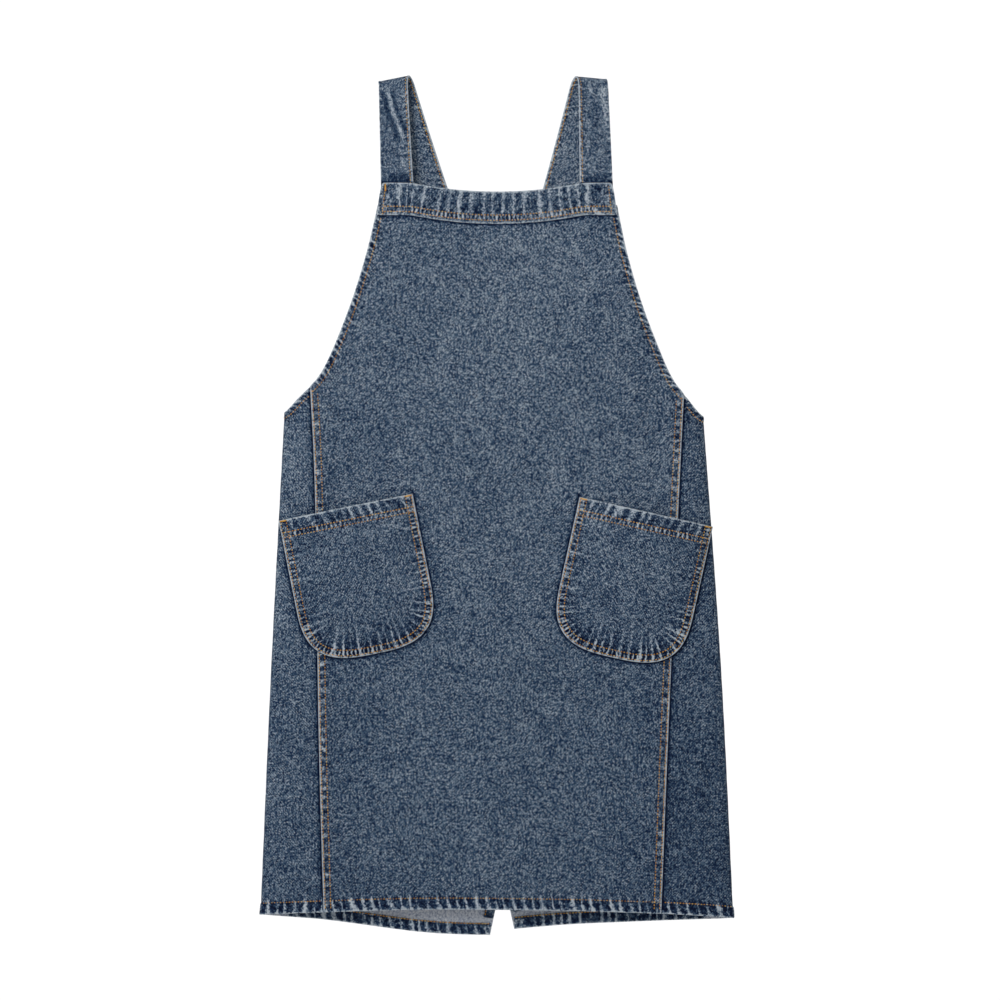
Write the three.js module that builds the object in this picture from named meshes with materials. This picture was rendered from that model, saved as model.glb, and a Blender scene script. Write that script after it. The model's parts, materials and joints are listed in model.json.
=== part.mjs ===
// Artist's smock apron in washed denim: a cross-back pinafore apron, hanging flat by its shoulder folds.
// Millimetres. X runs across the apron, the front faces -Y and +Z is up. The origin is the highest
// point of the shoulder folds. "left" is the -X side, the side seen on the left from the front.
import * as THREE from 'three';

// ---- cloth ----
const PLY = 1.0; // one layer of denim
const GAP = 0.35; // air between two layers
const STEP = PLY + GAP; // from one layer to the next
const THREAD_THICK = 0.4;
const THREAD_WIDTH = 0.8;

// ---- cross-section ----
const WRAP_DEPTH = 9.65; // from the middle plane to the outer face of the side and back panels
const FOLD_CAP = 28; // how far in from each side fold the cross-section is curved
const FOLD_PIECE = 10; // how much of that the side fold's own piece covers

// ---- bib ----
const BAND_TOP = -124.4; // at the band's two ends
const BAND_HEIGHT = 37.1;
const BAND_SAG = 10.2; // the middle of the band hangs this much lower than its ends
const BAND_SAG_REACH = 99; // it only sags between the straps, and is straight from here to its ends
const BAND_HALF_TOP = 134;
const BAND_HALF_BOTTOM = 138;
const BAND_ROWS = [26.6, 32.6]; // the two stitch rows, below the band's top edge
const PANEL_TOP = -150; // the front panel's raw top edge, inside the band

// ---- straps ----
const STRAP_THICK = 2.2; // two layers
const STRAP_HALF_WIDTH = 19.3; // measured level, across the slanting back run
const STRAP_RUN_TOP = -18; // about where the runs below the shoulder fold start
const STRAP_SEWN_FRONT = -146; // lower end, inside the band
const STRAP_SEWN_BACK = -450; // lower end, inside the back panel
const LIFT_RISE = [60, 280]; // depths over which the upper strap rises to cross the other one
const LIFT_FALL = [409, 424.5]; // and over which it comes down again
const BOX_STITCH = { wide: 28, high: 18, height: -438 }; // holds a strap's sewn end
const FOLD_DEPTH = 14; // the shoulder fold, front to back
const FOLD_LEG = 10; // how far the fold's own piece comes down
const FOLD_BEVEL = 1.6;
const FOLD_RELIEF = 0.8; // the bevel in the fold's inner corners, beside its flat underside

// ---- hems and seams ----
const BODY_HEM = 14;
const ARMHOLE_HEM = 8;
const CENTRE_BACK_HEM = 12;
const NECK_HEM = 10;
const SEAM_LAP = 12; // the side panel runs on under the front panel
const SEAM_ROWS = [2, 8]; // the two stitch rows, in from the front panel's folded edge
const HEM_ROW = 13; // the hem's stitch row, above the edge
const ARMHOLE_ROW = 7;
const SEAM_TOP = -365; // where the felled seam meets the armhole
const SEAM_ROW_START = -376;
const FELLED_START = -384;
const CENTRE_HEM_START = -500;
const SIDE_TOP = -395; // heights at which the side fold is read for the back panel's corners
const SIDE_LOW = -965;
const BACK_LOW = -980; // height at which the centre-back edge is read for the back hem

// ---- pockets ----
const POCKET_HALF_WIDTH = 78.5;
const POCKET_DEPTH = 172.5;
const POCKET_STRAIGHT = 100; // the sides are straight down to here, and then round in
const POCKET_ROUNDNESS = 3; // the power of the rounded part
const POCKET_BULGE = 8; // how far the mouth stands open
const POCKET_DROP = 6; // how far its outer edge leans back over the side fold
const POCKET_ROW = 2.4;
const MOUTH_HEM = 17;
const BAR_TACK = { start: 1.8, end: 8.8, down: 1.2, high: 1.6 }; // from a mouth's corner, and below its edge

// ---- loose back flaps ----
const HINGE_TOP = -458; // where each flap's fold line starts, at the centre-back edge
const HINGE_CLEAR = 2; // cloth left out on each side of the fold line
const FLAP_TOP = -470; // the flap's own upper tip

// Curves are lists of [distance from the middle, height], smooth through their points.
const SIDES = {
  left: {
    sign: -1,
    fold: [[244.4, -386.5], [259.9, -684], [272.1, -965]],
    armhole: [
      [137, -150], [149.4, -203], [167, -260], [188, -314], [205.6, -348], [228.5, -370], [244.4, -386.5],
    ],
    seam: [[214.5, -362], [209, -480], [204.7, -760], [199, -964]],
    strapOuter: [[136, -7.5], [133.4, -124], [132.9, -150]],
    strapInner: [[100.5, 0], [102.4, -16], [100.2, -60], [96.2, -124], [95.2, -150]],
    shoulder: { outer: [136, -7.5], inner: [100.3, 0] },
    back: { start: 119.8, slope: 0.284, curve: 1.8e-4, overCross: 3.1 },
    slit: [[-6.5, -400], [-6.5, -880], [3.6, -961], [8.1, -990]],
    hingeEnd: [238, -967],
    pocket: { mouth: [174, -497], tilt: 11.4 },
  },
  right: {
    sign: 1,
    fold: [[237, -390], [257.9, -684], [271.8, -968.5]],
    armhole: [[138, -150], [149, -203], [165.5, -260], [185, -312], [202, -350], [218, -370], [237, -390]],
    seam: [[215, -362], [208.7, -490], [196.5, -760], [188.6, -964]],
    strapOuter: [[127.3, -4.8], [132.9, -123], [133.5, -150]],
    strapInner: [[89.5, -1], [93.2, -14], [94.4, -60], [94.9, -124], [95.2, -150]],
    shoulder: { outer: [127.3, -4.8], inner: [89.2, -1] },
    back: { start: 108.3, slope: 0.246, curve: 1.2e-4, overCross: 0 },
    slit: [[9.5, -400], [9.5, -890], [17.3, -961], [19.9, -983]],
    hingeEnd: [238, -971],
    pocket: { mouth: [171.5, -502.3], tilt: 12.6 },
  },
};

// Heights of the two hem edges, as [x, height] across the whole apron.
const FRONT_HEM = [[-272, -965], [-100, -959.5], [40, -960], [190, -964], [272, -969]];
const BACK_HEM_LEFT = [[-272, -966], [-202, -971], [-101, -984], [-55, -988], [-8, -989.6]];
const BACK_HEM_RIGHT = [[19, -982.6], [77, -977.5], [132, -975], [187, -973], [272, -970]];
const BACK_NECK = [[0, -425], [60, -424], [150, -418], [200, -408], [237, -394]]; // alike on both sides

// ---- curves ----
const CURVE_STEPS = 60;
const mix = (a, b, t) => a + (b - a) * t;

function smooth(points) {
  return new THREE.SplineCurve(points.map(([a, b]) => new THREE.Vector2(a, b))).getPoints(CURVE_STEPS);
}

// Reads a smooth curve: the value of one coordinate where the other has the given value.
function read(curve, known, value, wanted) {
  const last = curve.length - 1;
  const rising = curve[last][known] > curve[0][known];
  const ahead = (point) => (rising ? point[known] >= value : point[known] <= value);
  const found = curve.findIndex(ahead);
  if (found === 0) return curve[0][wanted];
  if (found < 0) return curve[last][wanted];
  const [before, after] = [curve[found - 1], curve[found]];
  return mix(before[wanted], after[wanted], (value - before[known]) / (after[known] - before[known]));
}

const distanceAt = (curve, height) => read(curve, 'y', height, 'x');
const heightAt = (curve, distance) => read(curve, 'x', distance, 'y');

for (const side of Object.values(SIDES)) {
  for (const edge of ['fold', 'armhole', 'seam', 'strapOuter', 'strapInner', 'slit']) {
    side[edge] = smooth(side[edge]);
  }
}
const { left, right } = SIDES;
const frontHemCurve = smooth(FRONT_HEM);
const backHemCurves = { '-1': smooth(BACK_HEM_LEFT), 1: smooth(BACK_HEM_RIGHT) };
const backNeckCurve = smooth(BACK_NECK);

const sideOf = (x) => (x < 0 ? left : right);
const frontHem = (x) => heightAt(frontHemCurve, x);
const backHem = (side, distance) => heightAt(backHemCurves[side.sign], side.sign * distance);
const bandSag = (x) => BAND_SAG * Math.max(0, 1 - (x / BAND_SAG_REACH) ** 2);

// How far a place is into the curved part beside the side fold: 0 where it starts and 1 on the fold.
function capShare(x, height) {
  const past = Math.abs(x) - distanceAt(sideOf(x).fold, height) + FOLD_CAP;
  return THREE.MathUtils.clamp(past / FOLD_CAP, 0, 1);
}

// The outer face of the front panel's layer, of the back panels' layer, and of what a pocket lies on.
const backY = (x, height) => WRAP_DEPTH * Math.sqrt(1 - capShare(x, height) ** 2);
const frontY = (x, height) => -backY(x, height) - STEP;
const underPocketY = (x, height) => POCKET_DROP * capShare(x, height) ** 2 - WRAP_DEPTH - STEP;

// ---- solids ----
const COLOURS = { denim: 0x4c5a6c, thread: 0x9a6a3c };
const group = new THREE.Group();

function enclosedVolume(geometry) {
  const { position } = geometry.attributes;
  const corner = (i) => new THREE.Vector3().fromBufferAttribute(position, geometry.index.getX(i));
  let volume = 0;
  for (let i = 0; i < geometry.index.count; i += 3) {
    volume += corner(i).dot(corner(i + 1).cross(corner(i + 2))) / 6;
  }
  return volume;
}

// A slab of cloth or thread. place(u, v, w) gives [x, y, z], where u runs across, v down and w through it.
function slab(name, colour, [across, down], place) {
  const geometry = new THREE.BoxGeometry(1, 1, 1, across, down, 1);
  const { position } = geometry.attributes;
  for (let i = 0; i < position.count; i += 1) {
    position.setXYZ(i, ...place(position.getX(i) + 0.5, 0.5 - position.getY(i), 0.5 - position.getZ(i)));
  }
  if (enclosedVolume(geometry) < 0) geometry.index.array.reverse(); // a mirrored placing turns the faces in
  geometry.computeVertexNormals();
  add(name, colour, geometry);
}

function add(name, colour, geometry) {
  const metalness = 0;
  const roughness = colour === COLOURS.thread ? 0.6 : 0.95;
  const material = new THREE.MeshStandardMaterial({ color: colour, roughness, metalness });
  const mesh = new THREE.Mesh(geometry, material);
  mesh.name = name;
  group.add(mesh);
  return mesh;
}

// A narrow strip that follows path(t) = [x, z], as wide as edge(t) - path(t), with its outer face at faceY.
function strip(name, colour, steps, path, edge, thickness, faceY) {
  slab(name, colour, [1, steps], (u, v, w) => {
    const [x0, z0] = path(v);
    const [x1, z1] = edge(v);
    const [x, z] = [mix(x0, x1, u), mix(z0, z1, u)];
    return [x, faceY(x, z) + w * thickness, z];
  });
}

// ---- front panel, bib band and its facing ----
function frontEdge(side, height) {
  return height > SEAM_TOP ? distanceAt(side.armhole, height) : distanceAt(side.seam, height);
}

function makeFront() {
  slab('front_panel', COLOURS.denim, [8, 28], (u, v, w) => {
    const row = mix(PANEL_TOP, SIDE_LOW, v);
    const x = mix(-frontEdge(left, row), frontEdge(right, row), u);
    const z = mix(PANEL_TOP - bandSag(x), frontHem(x), v);
    return [x, frontY(x, z) + w * PLY, z];
  });
  const bandPlace = (inset, outerY) => (u, v, w) => {
    const half = mix(BAND_HALF_TOP, BAND_HALF_BOTTOM, v) - inset;
    const x = mix(-half, half, u);
    const z = BAND_TOP - bandSag(x) - mix(inset, BAND_HEIGHT - inset, v);
    return [x, outerY + w * PLY, z];
  };
  const panelY = -WRAP_DEPTH - STEP;
  slab('bib_band', COLOURS.denim, [22, 2], bandPlace(0, panelY - STEP));
  slab('bib_facing', COLOURS.denim, [22, 2], bandPlace(0.5, panelY + STRAP_THICK + GAP));
  BAND_ROWS.forEach((row, i) => {
    slab(`bib_band_topstitch_${['upper', 'lower'][i]}`, COLOURS.thread, [16, 1], (u, v, w) => {
      const x = mix(-BAND_HALF_TOP + 4, BAND_HALF_TOP - 4, u);
      const z = BAND_TOP - bandSag(x) - row - v * THREAD_WIDTH;
      return [x, panelY - STEP - GAP - THREAD_THICK + w * THREAD_THICK, z];
    });
  });
}

// ---- straps ----
function makeStrap(label, side) {
  const { sign, shoulder, back } = side;
  const [outerX, outerZ] = shoulder.outer;
  const [innerX, innerZ] = shoulder.inner;
  const foldLength = Math.hypot(outerX - innerX, innerZ - outerZ);
  const tilt = Math.atan2(innerZ - outerZ, outerX - innerX);
  const topAt = (distance) => mix(outerZ, innerZ, (outerX - distance) / (outerX - innerX));
  const legEnd = (distance) => topAt(distance) - FOLD_LEG / Math.cos(tilt);

  // The shoulder fold: a flat-topped arch, extruded along the fold.
  const [reach, inner] = [FOLD_DEPTH / 2, FOLD_DEPTH / 2 - STRAP_THICK];
  const arch = new THREE.Shape([
    [-reach, -FOLD_LEG], [-reach, -FOLD_BEVEL], [-reach + FOLD_BEVEL, 0], [reach - FOLD_BEVEL, 0],
    [reach, -FOLD_BEVEL], [reach, -FOLD_LEG], [inner, -FOLD_LEG], [inner, -STRAP_THICK - FOLD_RELIEF],
    [inner - FOLD_RELIEF, -STRAP_THICK], [FOLD_RELIEF - inner, -STRAP_THICK],
    [-inner, -STRAP_THICK - FOLD_RELIEF], [-inner, -FOLD_LEG],
  ].map(([a, b]) => new THREE.Vector2(a, b)));
  const archGeometry = new THREE.ExtrudeGeometry(arch, { depth: foldLength, bevelEnabled: false });
  archGeometry.rotateY(-Math.PI / 2); // now the profile's x is Z and its extrusion runs along -X
  archGeometry.rotateX(Math.PI / 2);
  const fold = add(`${label}_strap_shoulder`, COLOURS.denim, archGeometry);
  const startsOutside = sign > 0;
  const [startX, startZ] = startsOutside ? [outerX, outerZ] : [-innerX, innerZ];
  fold.rotation.y = sign * tilt;
  fold.position.set(startX, 0, startZ);

  // The front run, from the fold down into the band.
  const topY = -reach;
  const bandY = -WRAP_DEPTH - STEP;
  slab(`${label}_strap_front`, COLOURS.denim, [2, 10], (u, v, w) => {
    const row = mix(STRAP_RUN_TOP, STRAP_SEWN_FRONT, v);
    const distance = mix(distanceAt(side.strapInner, row), distanceAt(side.strapOuter, row), u);
    const z = mix(legEnd(distance) - GAP, STRAP_SEWN_FRONT, v);
    const drop = THREE.MathUtils.smoothstep(-z, 0, -BAND_TOP - 4);
    return [sign * distance, mix(topY, bandY, drop) + w * STRAP_THICK, z];
  });

  // The back run, which crosses the other strap and is sewn inside the opposite back panel.
  const centre = (z) => back.start + back.slope * z - back.curve * z * z;
  const sewnY = WRAP_DEPTH - 2 * STEP;
  slab(`${label}_strap_back`, COLOURS.denim, [2, 40], (u, v, w) => {
    const row = mix(STRAP_RUN_TOP, STRAP_SEWN_BACK, v);
    const distance = centre(row) + mix(-STRAP_HALF_WIDTH, STRAP_HALF_WIDTH, u);
    const z = mix(legEnd(distance) - GAP, STRAP_SEWN_BACK, v);
    const { smoothstep } = THREE.MathUtils;
    const lift = smoothstep(-z, ...LIFT_RISE) * (1 - smoothstep(-z, ...LIFT_FALL));
    return [sign * distance, sewnY + lift * back.overCross - w * STRAP_THICK, z];
  });

  // The box of stitches that holds the strap's end, on the outside of the opposite back panel.
  const ring = [[-1, -1], [1, -1], [1, 1], [-1, 1]];
  const around = (inset) => ring.map(([a, b]) => new THREE.Vector2(
    sign * centre(BOX_STITCH.height) + a * (BOX_STITCH.wide / 2 - inset),
    BOX_STITCH.height + b * (BOX_STITCH.high / 2 - inset),
  ));
  const frame = new THREE.Shape(around(0));
  frame.holes.push(new THREE.Path(around(THREAD_WIDTH).reverse()));
  const frameGeometry = new THREE.ExtrudeGeometry(frame, { depth: THREAD_THICK, bevelEnabled: false });
  frameGeometry.rotateX(Math.PI / 2); // the extrusion now runs along -Y
  const boxStitch = add(`${label}_strap_box_stitch`, COLOURS.thread, frameGeometry);
  boxStitch.position.y = WRAP_DEPTH + GAP + THREAD_THICK;
}

// ---- side panel, side fold, felled seam and armhole hem ----
function makeSide(label, side) {
  const { sign } = side;
  const foldAt = (z) => distanceAt(side.fold, z);
  const corner = side.fold[0].y;
  const panelEnd = FOLD_PIECE + 0.4;

  slab(`${label}_side_panel`, COLOURS.denim, [5, 20], (u, v, w) => {
    const row = mix(corner, SIDE_LOW, v);
    const distance = mix(distanceAt(side.seam, row) - SEAM_LAP, foldAt(row) - panelEnd, u);
    const z = mix(heightAt(side.armhole, distance), frontHem(sign * distance), v);
    return [sign * distance, frontY(sign * distance, z) + STEP + w * PLY, z];
  });

  // The fold's section is the end of an ellipse, from the front round to the back.
  const limit = Math.acos(1 - (FOLD_PIECE - 0.4) / FOLD_CAP);
  const cornerSlope = 13; // how much higher the fold's top is in front than behind
  slab(`${label}_side_fold`, COLOURS.denim, [8, 12], (u, v, w) => {
    const angle = mix(-limit, limit, u);
    const normal = new THREE.Vector2(Math.cos(angle) / FOLD_CAP, Math.sin(angle) / WRAP_DEPTH).normalize();
    const bottom = mix(frontHem(sign * foldAt(SIDE_LOW)), backHem(side, foldAt(SIDE_LOW)), u);
    const z = mix(corner - cornerSlope * Math.sin(angle), bottom, v);
    const distance = foldAt(z) - FOLD_CAP * (1 - Math.cos(angle)) - normal.x * PLY * w;
    return [sign * distance, WRAP_DEPTH * Math.sin(angle) - normal.y * PLY * w, z];
  });

  // The seam allowance that is folded inside and felled down.
  const seamHem = frontHem(sign * distanceAt(side.seam, SIDE_LOW));
  slab(`${label}_felled_seam`, COLOURS.denim, [1, 12], (u, v, w) => {
    const z = mix(FELLED_START, seamHem + BODY_HEM + 1, v);
    const distance = distanceAt(side.seam, z) - mix(SEAM_ROWS[1] + 2, 1, u);
    return [sign * distance, frontY(sign * distance, z) + 2 * STEP + w * PLY, z];
  });
  SEAM_ROWS.forEach((row, i) => {
    slab(`${label}_seam_topstitch_${['outer', 'inner'][i]}`, COLOURS.thread, [1, 14], (u, v, w) => {
      const z = mix(SEAM_ROW_START, seamHem + HEM_ROW + 2, v);
      const distance = distanceAt(side.seam, z) - row - u * THREAD_WIDTH;
      return [sign * distance, frontY(sign * distance, z) - GAP - THREAD_THICK * (1 - w), z];
    });
  });

  // The armhole's turned hem inside and its stitch row outside, both along lines set in from its edge.
  const alongArmhole = (from, to, inset) => (t) => {
    const z = mix(from, to, t);
    const probe = 1;
    const here = distanceAt(side.armhole, z);
    const slope = new THREE.Vector2(distanceAt(side.armhole, z - probe) - here, -probe).normalize();
    return [sign * (here + slope.y * inset), z - slope.x * inset];
  };
  const hemStart = BAND_TOP - BAND_HEIGHT - 3;
  const hemEnd = heightAt(side.armhole, foldAt(corner) - panelEnd - 1);
  const beside = (inset) => alongArmhole(hemStart, hemEnd, inset);
  strip(`${label}_armhole_hem`, COLOURS.denim, 18, beside(0.4), beside(ARMHOLE_HEM), PLY,
    (x, z) => frontY(x, z) + 2 * STEP);
  strip(`${label}_armhole_topstitch`, COLOURS.thread, 18, beside(ARMHOLE_ROW - THREAD_WIDTH),
    beside(ARMHOLE_ROW), THREAD_THICK, (x, z) => frontY(x, z) - GAP - THREAD_THICK);

  const lapEdge = distanceAt(side.seam, SIDE_LOW) - SEAM_LAP;
  slab(`${label}_side_hem`, COLOURS.denim, [3, 1], (u, v, w) => {
    const distance = mix(lapEdge + 0.5, foldAt(SIDE_LOW) - panelEnd - 0.5, u);
    const z = frontHem(sign * distance) + mix(BODY_HEM, 0.4, v);
    return [sign * distance, frontY(sign * distance, z) + 2 * STEP + w * PLY, z];
  });
}

function makeFrontHem() {
  const lapEdge = (side) => distanceAt(side.seam, SIDE_LOW) - SEAM_LAP;
  const ends = [left, right].map((side) => side.sign * (lapEdge(side) - 1));
  slab('front_hem', COLOURS.denim, [10, 1], (u, v, w) => {
    const x = mix(ends[0], ends[1], u);
    const z = frontHem(x) + mix(BODY_HEM, 0.4, v);
    return [x, frontY(x, z) + STEP + w * PLY, z];
  });
  slab('front_hem_topstitch', COLOURS.thread, [12, 1], (u, v, w) => {
    const x = mix(ends[0] - SEAM_LAP + 2, ends[1] + SEAM_LAP - 2, u);
    const z = frontHem(x) + HEM_ROW - v * THREAD_WIDTH;
    return [x, frontY(x, z) - GAP - THREAD_THICK * (1 - w), z];
  });
}

// ---- back: the panel's fixed upper part, and the flap that hangs loose below its fold line ----
function makeBack(label, side) {
  const { sign } = side;
  const slitAt = (z) => distanceAt(side.slit, z);
  const sideEnd = (z) => distanceAt(side.fold, z) - FOLD_PIECE - 0.4;
  const [endDistance, endZ] = side.hingeEnd;
  const startDistance = slitAt(HINGE_TOP);
  const run = (endDistance - startDistance) / (HINGE_TOP - endZ); // outward for each millimetre down
  const clear = HINGE_CLEAR * Math.hypot(1, run); // the clearance, measured across
  const hingeDistance = (z) => startDistance + run * (HINGE_TOP - z);
  const hingeHeight = (distance) => HINGE_TOP - (distance - startDistance) / run;
  const inside = STEP; // hems lie one layer further in than the panel

  // Its outer edge follows the curve of the side fold; further in the rows are straight.
  slab(`${label}_back_panel`, COLOURS.denim, [13, 6], (u, v, w) => {
    const top = mix(sideEnd(SIDE_TOP), startDistance, u);
    const low = mix(sideEnd(SIDE_LOW), startDistance, u);
    const lowest = Math.max(backHem(side, low), hingeHeight(low) + clear / run);
    const z = mix(heightAt(backNeckCurve, top), lowest, v);
    const bow = sideEnd(z) - mix(sideEnd(SIDE_TOP), sideEnd(SIDE_LOW), v);
    const share = u === 0 ? 1 : 3 * v * (1 - v) * (1 - u) ** 2;
    const distance = mix(top, low, v) + bow * share;
    return [sign * distance, backY(sign * distance, z) - w * PLY, z];
  });
  slab(`${label}_back_flap`, COLOURS.denim, [8, 14], (u, v, w) => {
    const across = (height) => mix(hingeDistance(height) - clear, slitAt(height), u);
    const z = mix(FLAP_TOP, backHem(side, across(mix(FLAP_TOP, endZ, v))), v);
    return [sign * across(z), backY(0, z) - w * PLY, z];
  });
  slab(`${label}_back_neck_hem`, COLOURS.denim, [8, 1], (u, v, w) => {
    const distance = mix(sideEnd(SIDE_TOP) - 1.5, startDistance + 0.5, u);
    const z = heightAt(backNeckCurve, distance) - mix(0.4, NECK_HEM, v);
    return [sign * distance, backY(sign * distance, z) - inside - w * PLY, z];
  });
  slab(`${label}_back_hem`, COLOURS.denim, [8, 1], (u, v, w) => {
    const distance = mix(endDistance - 10, slitAt(BACK_LOW) + 0.5, u);
    const z = backHem(side, distance) + mix(BODY_HEM, 0.4, v);
    return [sign * distance, backY(0, z) - inside - w * PLY, z];
  });
  slab(`${label}_back_hem_topstitch`, COLOURS.thread, [8, 1], (u, v, w) => {
    const distance = mix(endDistance - 10, slitAt(BACK_LOW) + 1, u);
    const z = backHem(side, distance) + HEM_ROW - v * THREAD_WIDTH;
    return [sign * distance, backY(0, z) + GAP + THREAD_THICK * (1 - w), z];
  });
  const edgeBottom = backHem(side, slitAt(BACK_LOW)) + BODY_HEM + 1.5;
  slab(`${label}_centre_back_hem`, COLOURS.denim, [1, 14], (u, v, w) => {
    const z = mix(CENTRE_HEM_START, edgeBottom, v);
    return [sign * (slitAt(z) + mix(0.4, CENTRE_BACK_HEM, u)), backY(0, z) - inside - w * PLY, z];
  });
  slab(`${label}_centre_back_topstitch`, COLOURS.thread, [1, 14], (u, v, w) => {
    const z = mix(CENTRE_HEM_START, edgeBottom + 0.5, v);
    const distance = slitAt(z) + CENTRE_BACK_HEM - 1.5 - u * THREAD_WIDTH;
    return [sign * distance, backY(0, z) + GAP + THREAD_THICK * (1 - w), z];
  });
}

// ---- pocket ----
function pocketHalfWidth(down, inset) {
  const below = (down - POCKET_STRAIGHT) / (POCKET_DEPTH - inset - POCKET_STRAIGHT);
  const share = below > 0 ? (1 - Math.min(1, below) ** POCKET_ROUNDNESS) ** (1 / POCKET_ROUNDNESS) : 1;
  return (POCKET_HALF_WIDTH - inset) * share;
}

function pocketBulge(across, down) {
  const acrossShare = Math.min(1, Math.abs(across) / Math.max(1, pocketHalfWidth(down, 0)));
  const downShare = Math.min(1, down / POCKET_DEPTH);
  return POCKET_BULGE * Math.cos((acrossShare * Math.PI) / 2) * Math.cos((downShare * Math.PI) / 2) ** 0.7;
}

function makePocket(label, side) {
  const { sign, pocket } = side;
  const [mouthDistance, mouthZ] = pocket.mouth;
  const tilt = THREE.MathUtils.degToRad(pocket.tilt);
  // across runs towards the apron's middle and down towards the pocket's bottom, in the pocket's plane.
  const place = (across, down, outer) => {
    const distance = mouthDistance - across * Math.cos(tilt) - down * Math.sin(tilt);
    const z = mouthZ + across * Math.sin(tilt) - down * Math.cos(tilt);
    const x = sign * distance;
    return [x, underPocketY(x, z) - outer - pocketBulge(across, down), z];
  };
  const faceOuter = 2 * STEP;

  const columns = 14;
  const hemRows = 2;
  const rows = 15;
  slab(`${label}_pocket`, COLOURS.denim, [columns, rows], (u, v, w) => {
    const below = (v * rows - hemRows) / (rows - hemRows); // the first rows are as deep as the mouth's hem
    const rounded = 0.995 * (POCKET_DEPTH - MOUTH_HEM) * (1 - (1 - Math.max(0, below)) ** 1.7);
    const down = below > 0 ? MOUTH_HEM + rounded : MOUTH_HEM * (1 + (below * (rows - hemRows)) / hemRows);
    return place(mix(-1, 1, u) * pocketHalfWidth(down, 0), down, faceOuter - w * PLY);
  });
  slab(`${label}_pocket_mouth_hem`, COLOURS.denim, [columns, hemRows], (u, v, w) => (
    place(mix(-1, 1, u) * POCKET_HALF_WIDTH, MOUTH_HEM * v, STEP - w * PLY)));

  // One stitch row down one side, round the bottom and up the other side.
  const row = (t, inset) => {
    const angle = mix(-0.75, 1.75, t) * Math.PI;
    const half = POCKET_HALF_WIDTH - inset;
    if (angle < 0) return [-half, mix(MOUTH_HEM / 4, POCKET_STRAIGHT, 1 + angle / (0.75 * Math.PI))];
    if (angle > Math.PI) return [half, mix(POCKET_STRAIGHT, MOUTH_HEM / 4, (angle / Math.PI - 1) / 0.75)];
    const power = 2 / POCKET_ROUNDNESS;
    const turn = Math.cos(angle);
    const across = -half * Math.sign(turn) * Math.abs(turn) ** power;
    return [across, mix(POCKET_STRAIGHT, POCKET_DEPTH - inset, Math.sin(angle) ** power)];
  };
  slab(`${label}_pocket_topstitch`, COLOURS.thread, [1, 50], (u, v, w) => {
    const [across, down] = row(v, POCKET_ROW + u * THREAD_WIDTH);
    return place(across, down, faceOuter + GAP + THREAD_THICK * (1 - w));
  });
  ['outer', 'inner'].forEach((end, i) => {
    slab(`${label}_pocket_bar_tack_${end}`, COLOURS.thread, [2, 1], (u, v, w) => {
      const across = (i === 0 ? -1 : 1) * (POCKET_HALF_WIDTH - mix(BAR_TACK.start, BAR_TACK.end, u));
      const down = BAR_TACK.down + v * BAR_TACK.high;
      return place(across, down, faceOuter + GAP + 2 * THREAD_THICK * (1 - w));
    });
  });
}

makeFront();
makeFrontHem();
for (const [label, side] of Object.entries(SIDES)) {
  makeStrap(label, side);
  makeSide(label, side);
  makeBack(label, side);
  makePocket(label, side);
}

export default group;
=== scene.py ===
import json
import math

import bpy
import numpy as np
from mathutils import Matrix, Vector


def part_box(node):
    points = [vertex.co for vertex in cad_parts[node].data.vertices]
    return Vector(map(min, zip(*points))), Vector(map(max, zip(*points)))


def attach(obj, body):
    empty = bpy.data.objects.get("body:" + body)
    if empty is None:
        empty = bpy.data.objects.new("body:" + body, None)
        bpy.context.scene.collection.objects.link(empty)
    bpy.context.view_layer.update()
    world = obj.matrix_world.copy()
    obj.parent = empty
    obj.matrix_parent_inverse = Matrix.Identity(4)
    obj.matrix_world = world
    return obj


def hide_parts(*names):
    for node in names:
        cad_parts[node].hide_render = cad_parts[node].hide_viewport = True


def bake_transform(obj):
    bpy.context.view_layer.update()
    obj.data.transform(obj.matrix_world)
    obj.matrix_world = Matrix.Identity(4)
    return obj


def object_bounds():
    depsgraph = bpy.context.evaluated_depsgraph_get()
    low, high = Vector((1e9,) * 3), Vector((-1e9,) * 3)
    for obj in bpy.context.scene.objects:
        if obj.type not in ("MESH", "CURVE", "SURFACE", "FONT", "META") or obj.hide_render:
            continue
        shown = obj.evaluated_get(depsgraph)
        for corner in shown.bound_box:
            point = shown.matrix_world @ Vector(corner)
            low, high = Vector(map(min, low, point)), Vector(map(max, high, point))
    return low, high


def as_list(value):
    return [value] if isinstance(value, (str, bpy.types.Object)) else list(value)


# Looks of the artist's smock apron in washed denim. Lengths are millimetres until a mesh is made.

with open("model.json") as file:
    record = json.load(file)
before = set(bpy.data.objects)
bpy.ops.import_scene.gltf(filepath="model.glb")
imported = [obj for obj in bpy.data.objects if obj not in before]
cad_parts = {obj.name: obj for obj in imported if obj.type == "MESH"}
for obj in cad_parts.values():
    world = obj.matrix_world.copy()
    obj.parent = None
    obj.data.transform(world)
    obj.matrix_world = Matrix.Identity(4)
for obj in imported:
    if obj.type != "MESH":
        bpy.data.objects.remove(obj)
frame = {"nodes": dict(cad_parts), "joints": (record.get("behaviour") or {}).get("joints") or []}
CAD_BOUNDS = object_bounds()
NODES = frame["nodes"]

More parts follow.
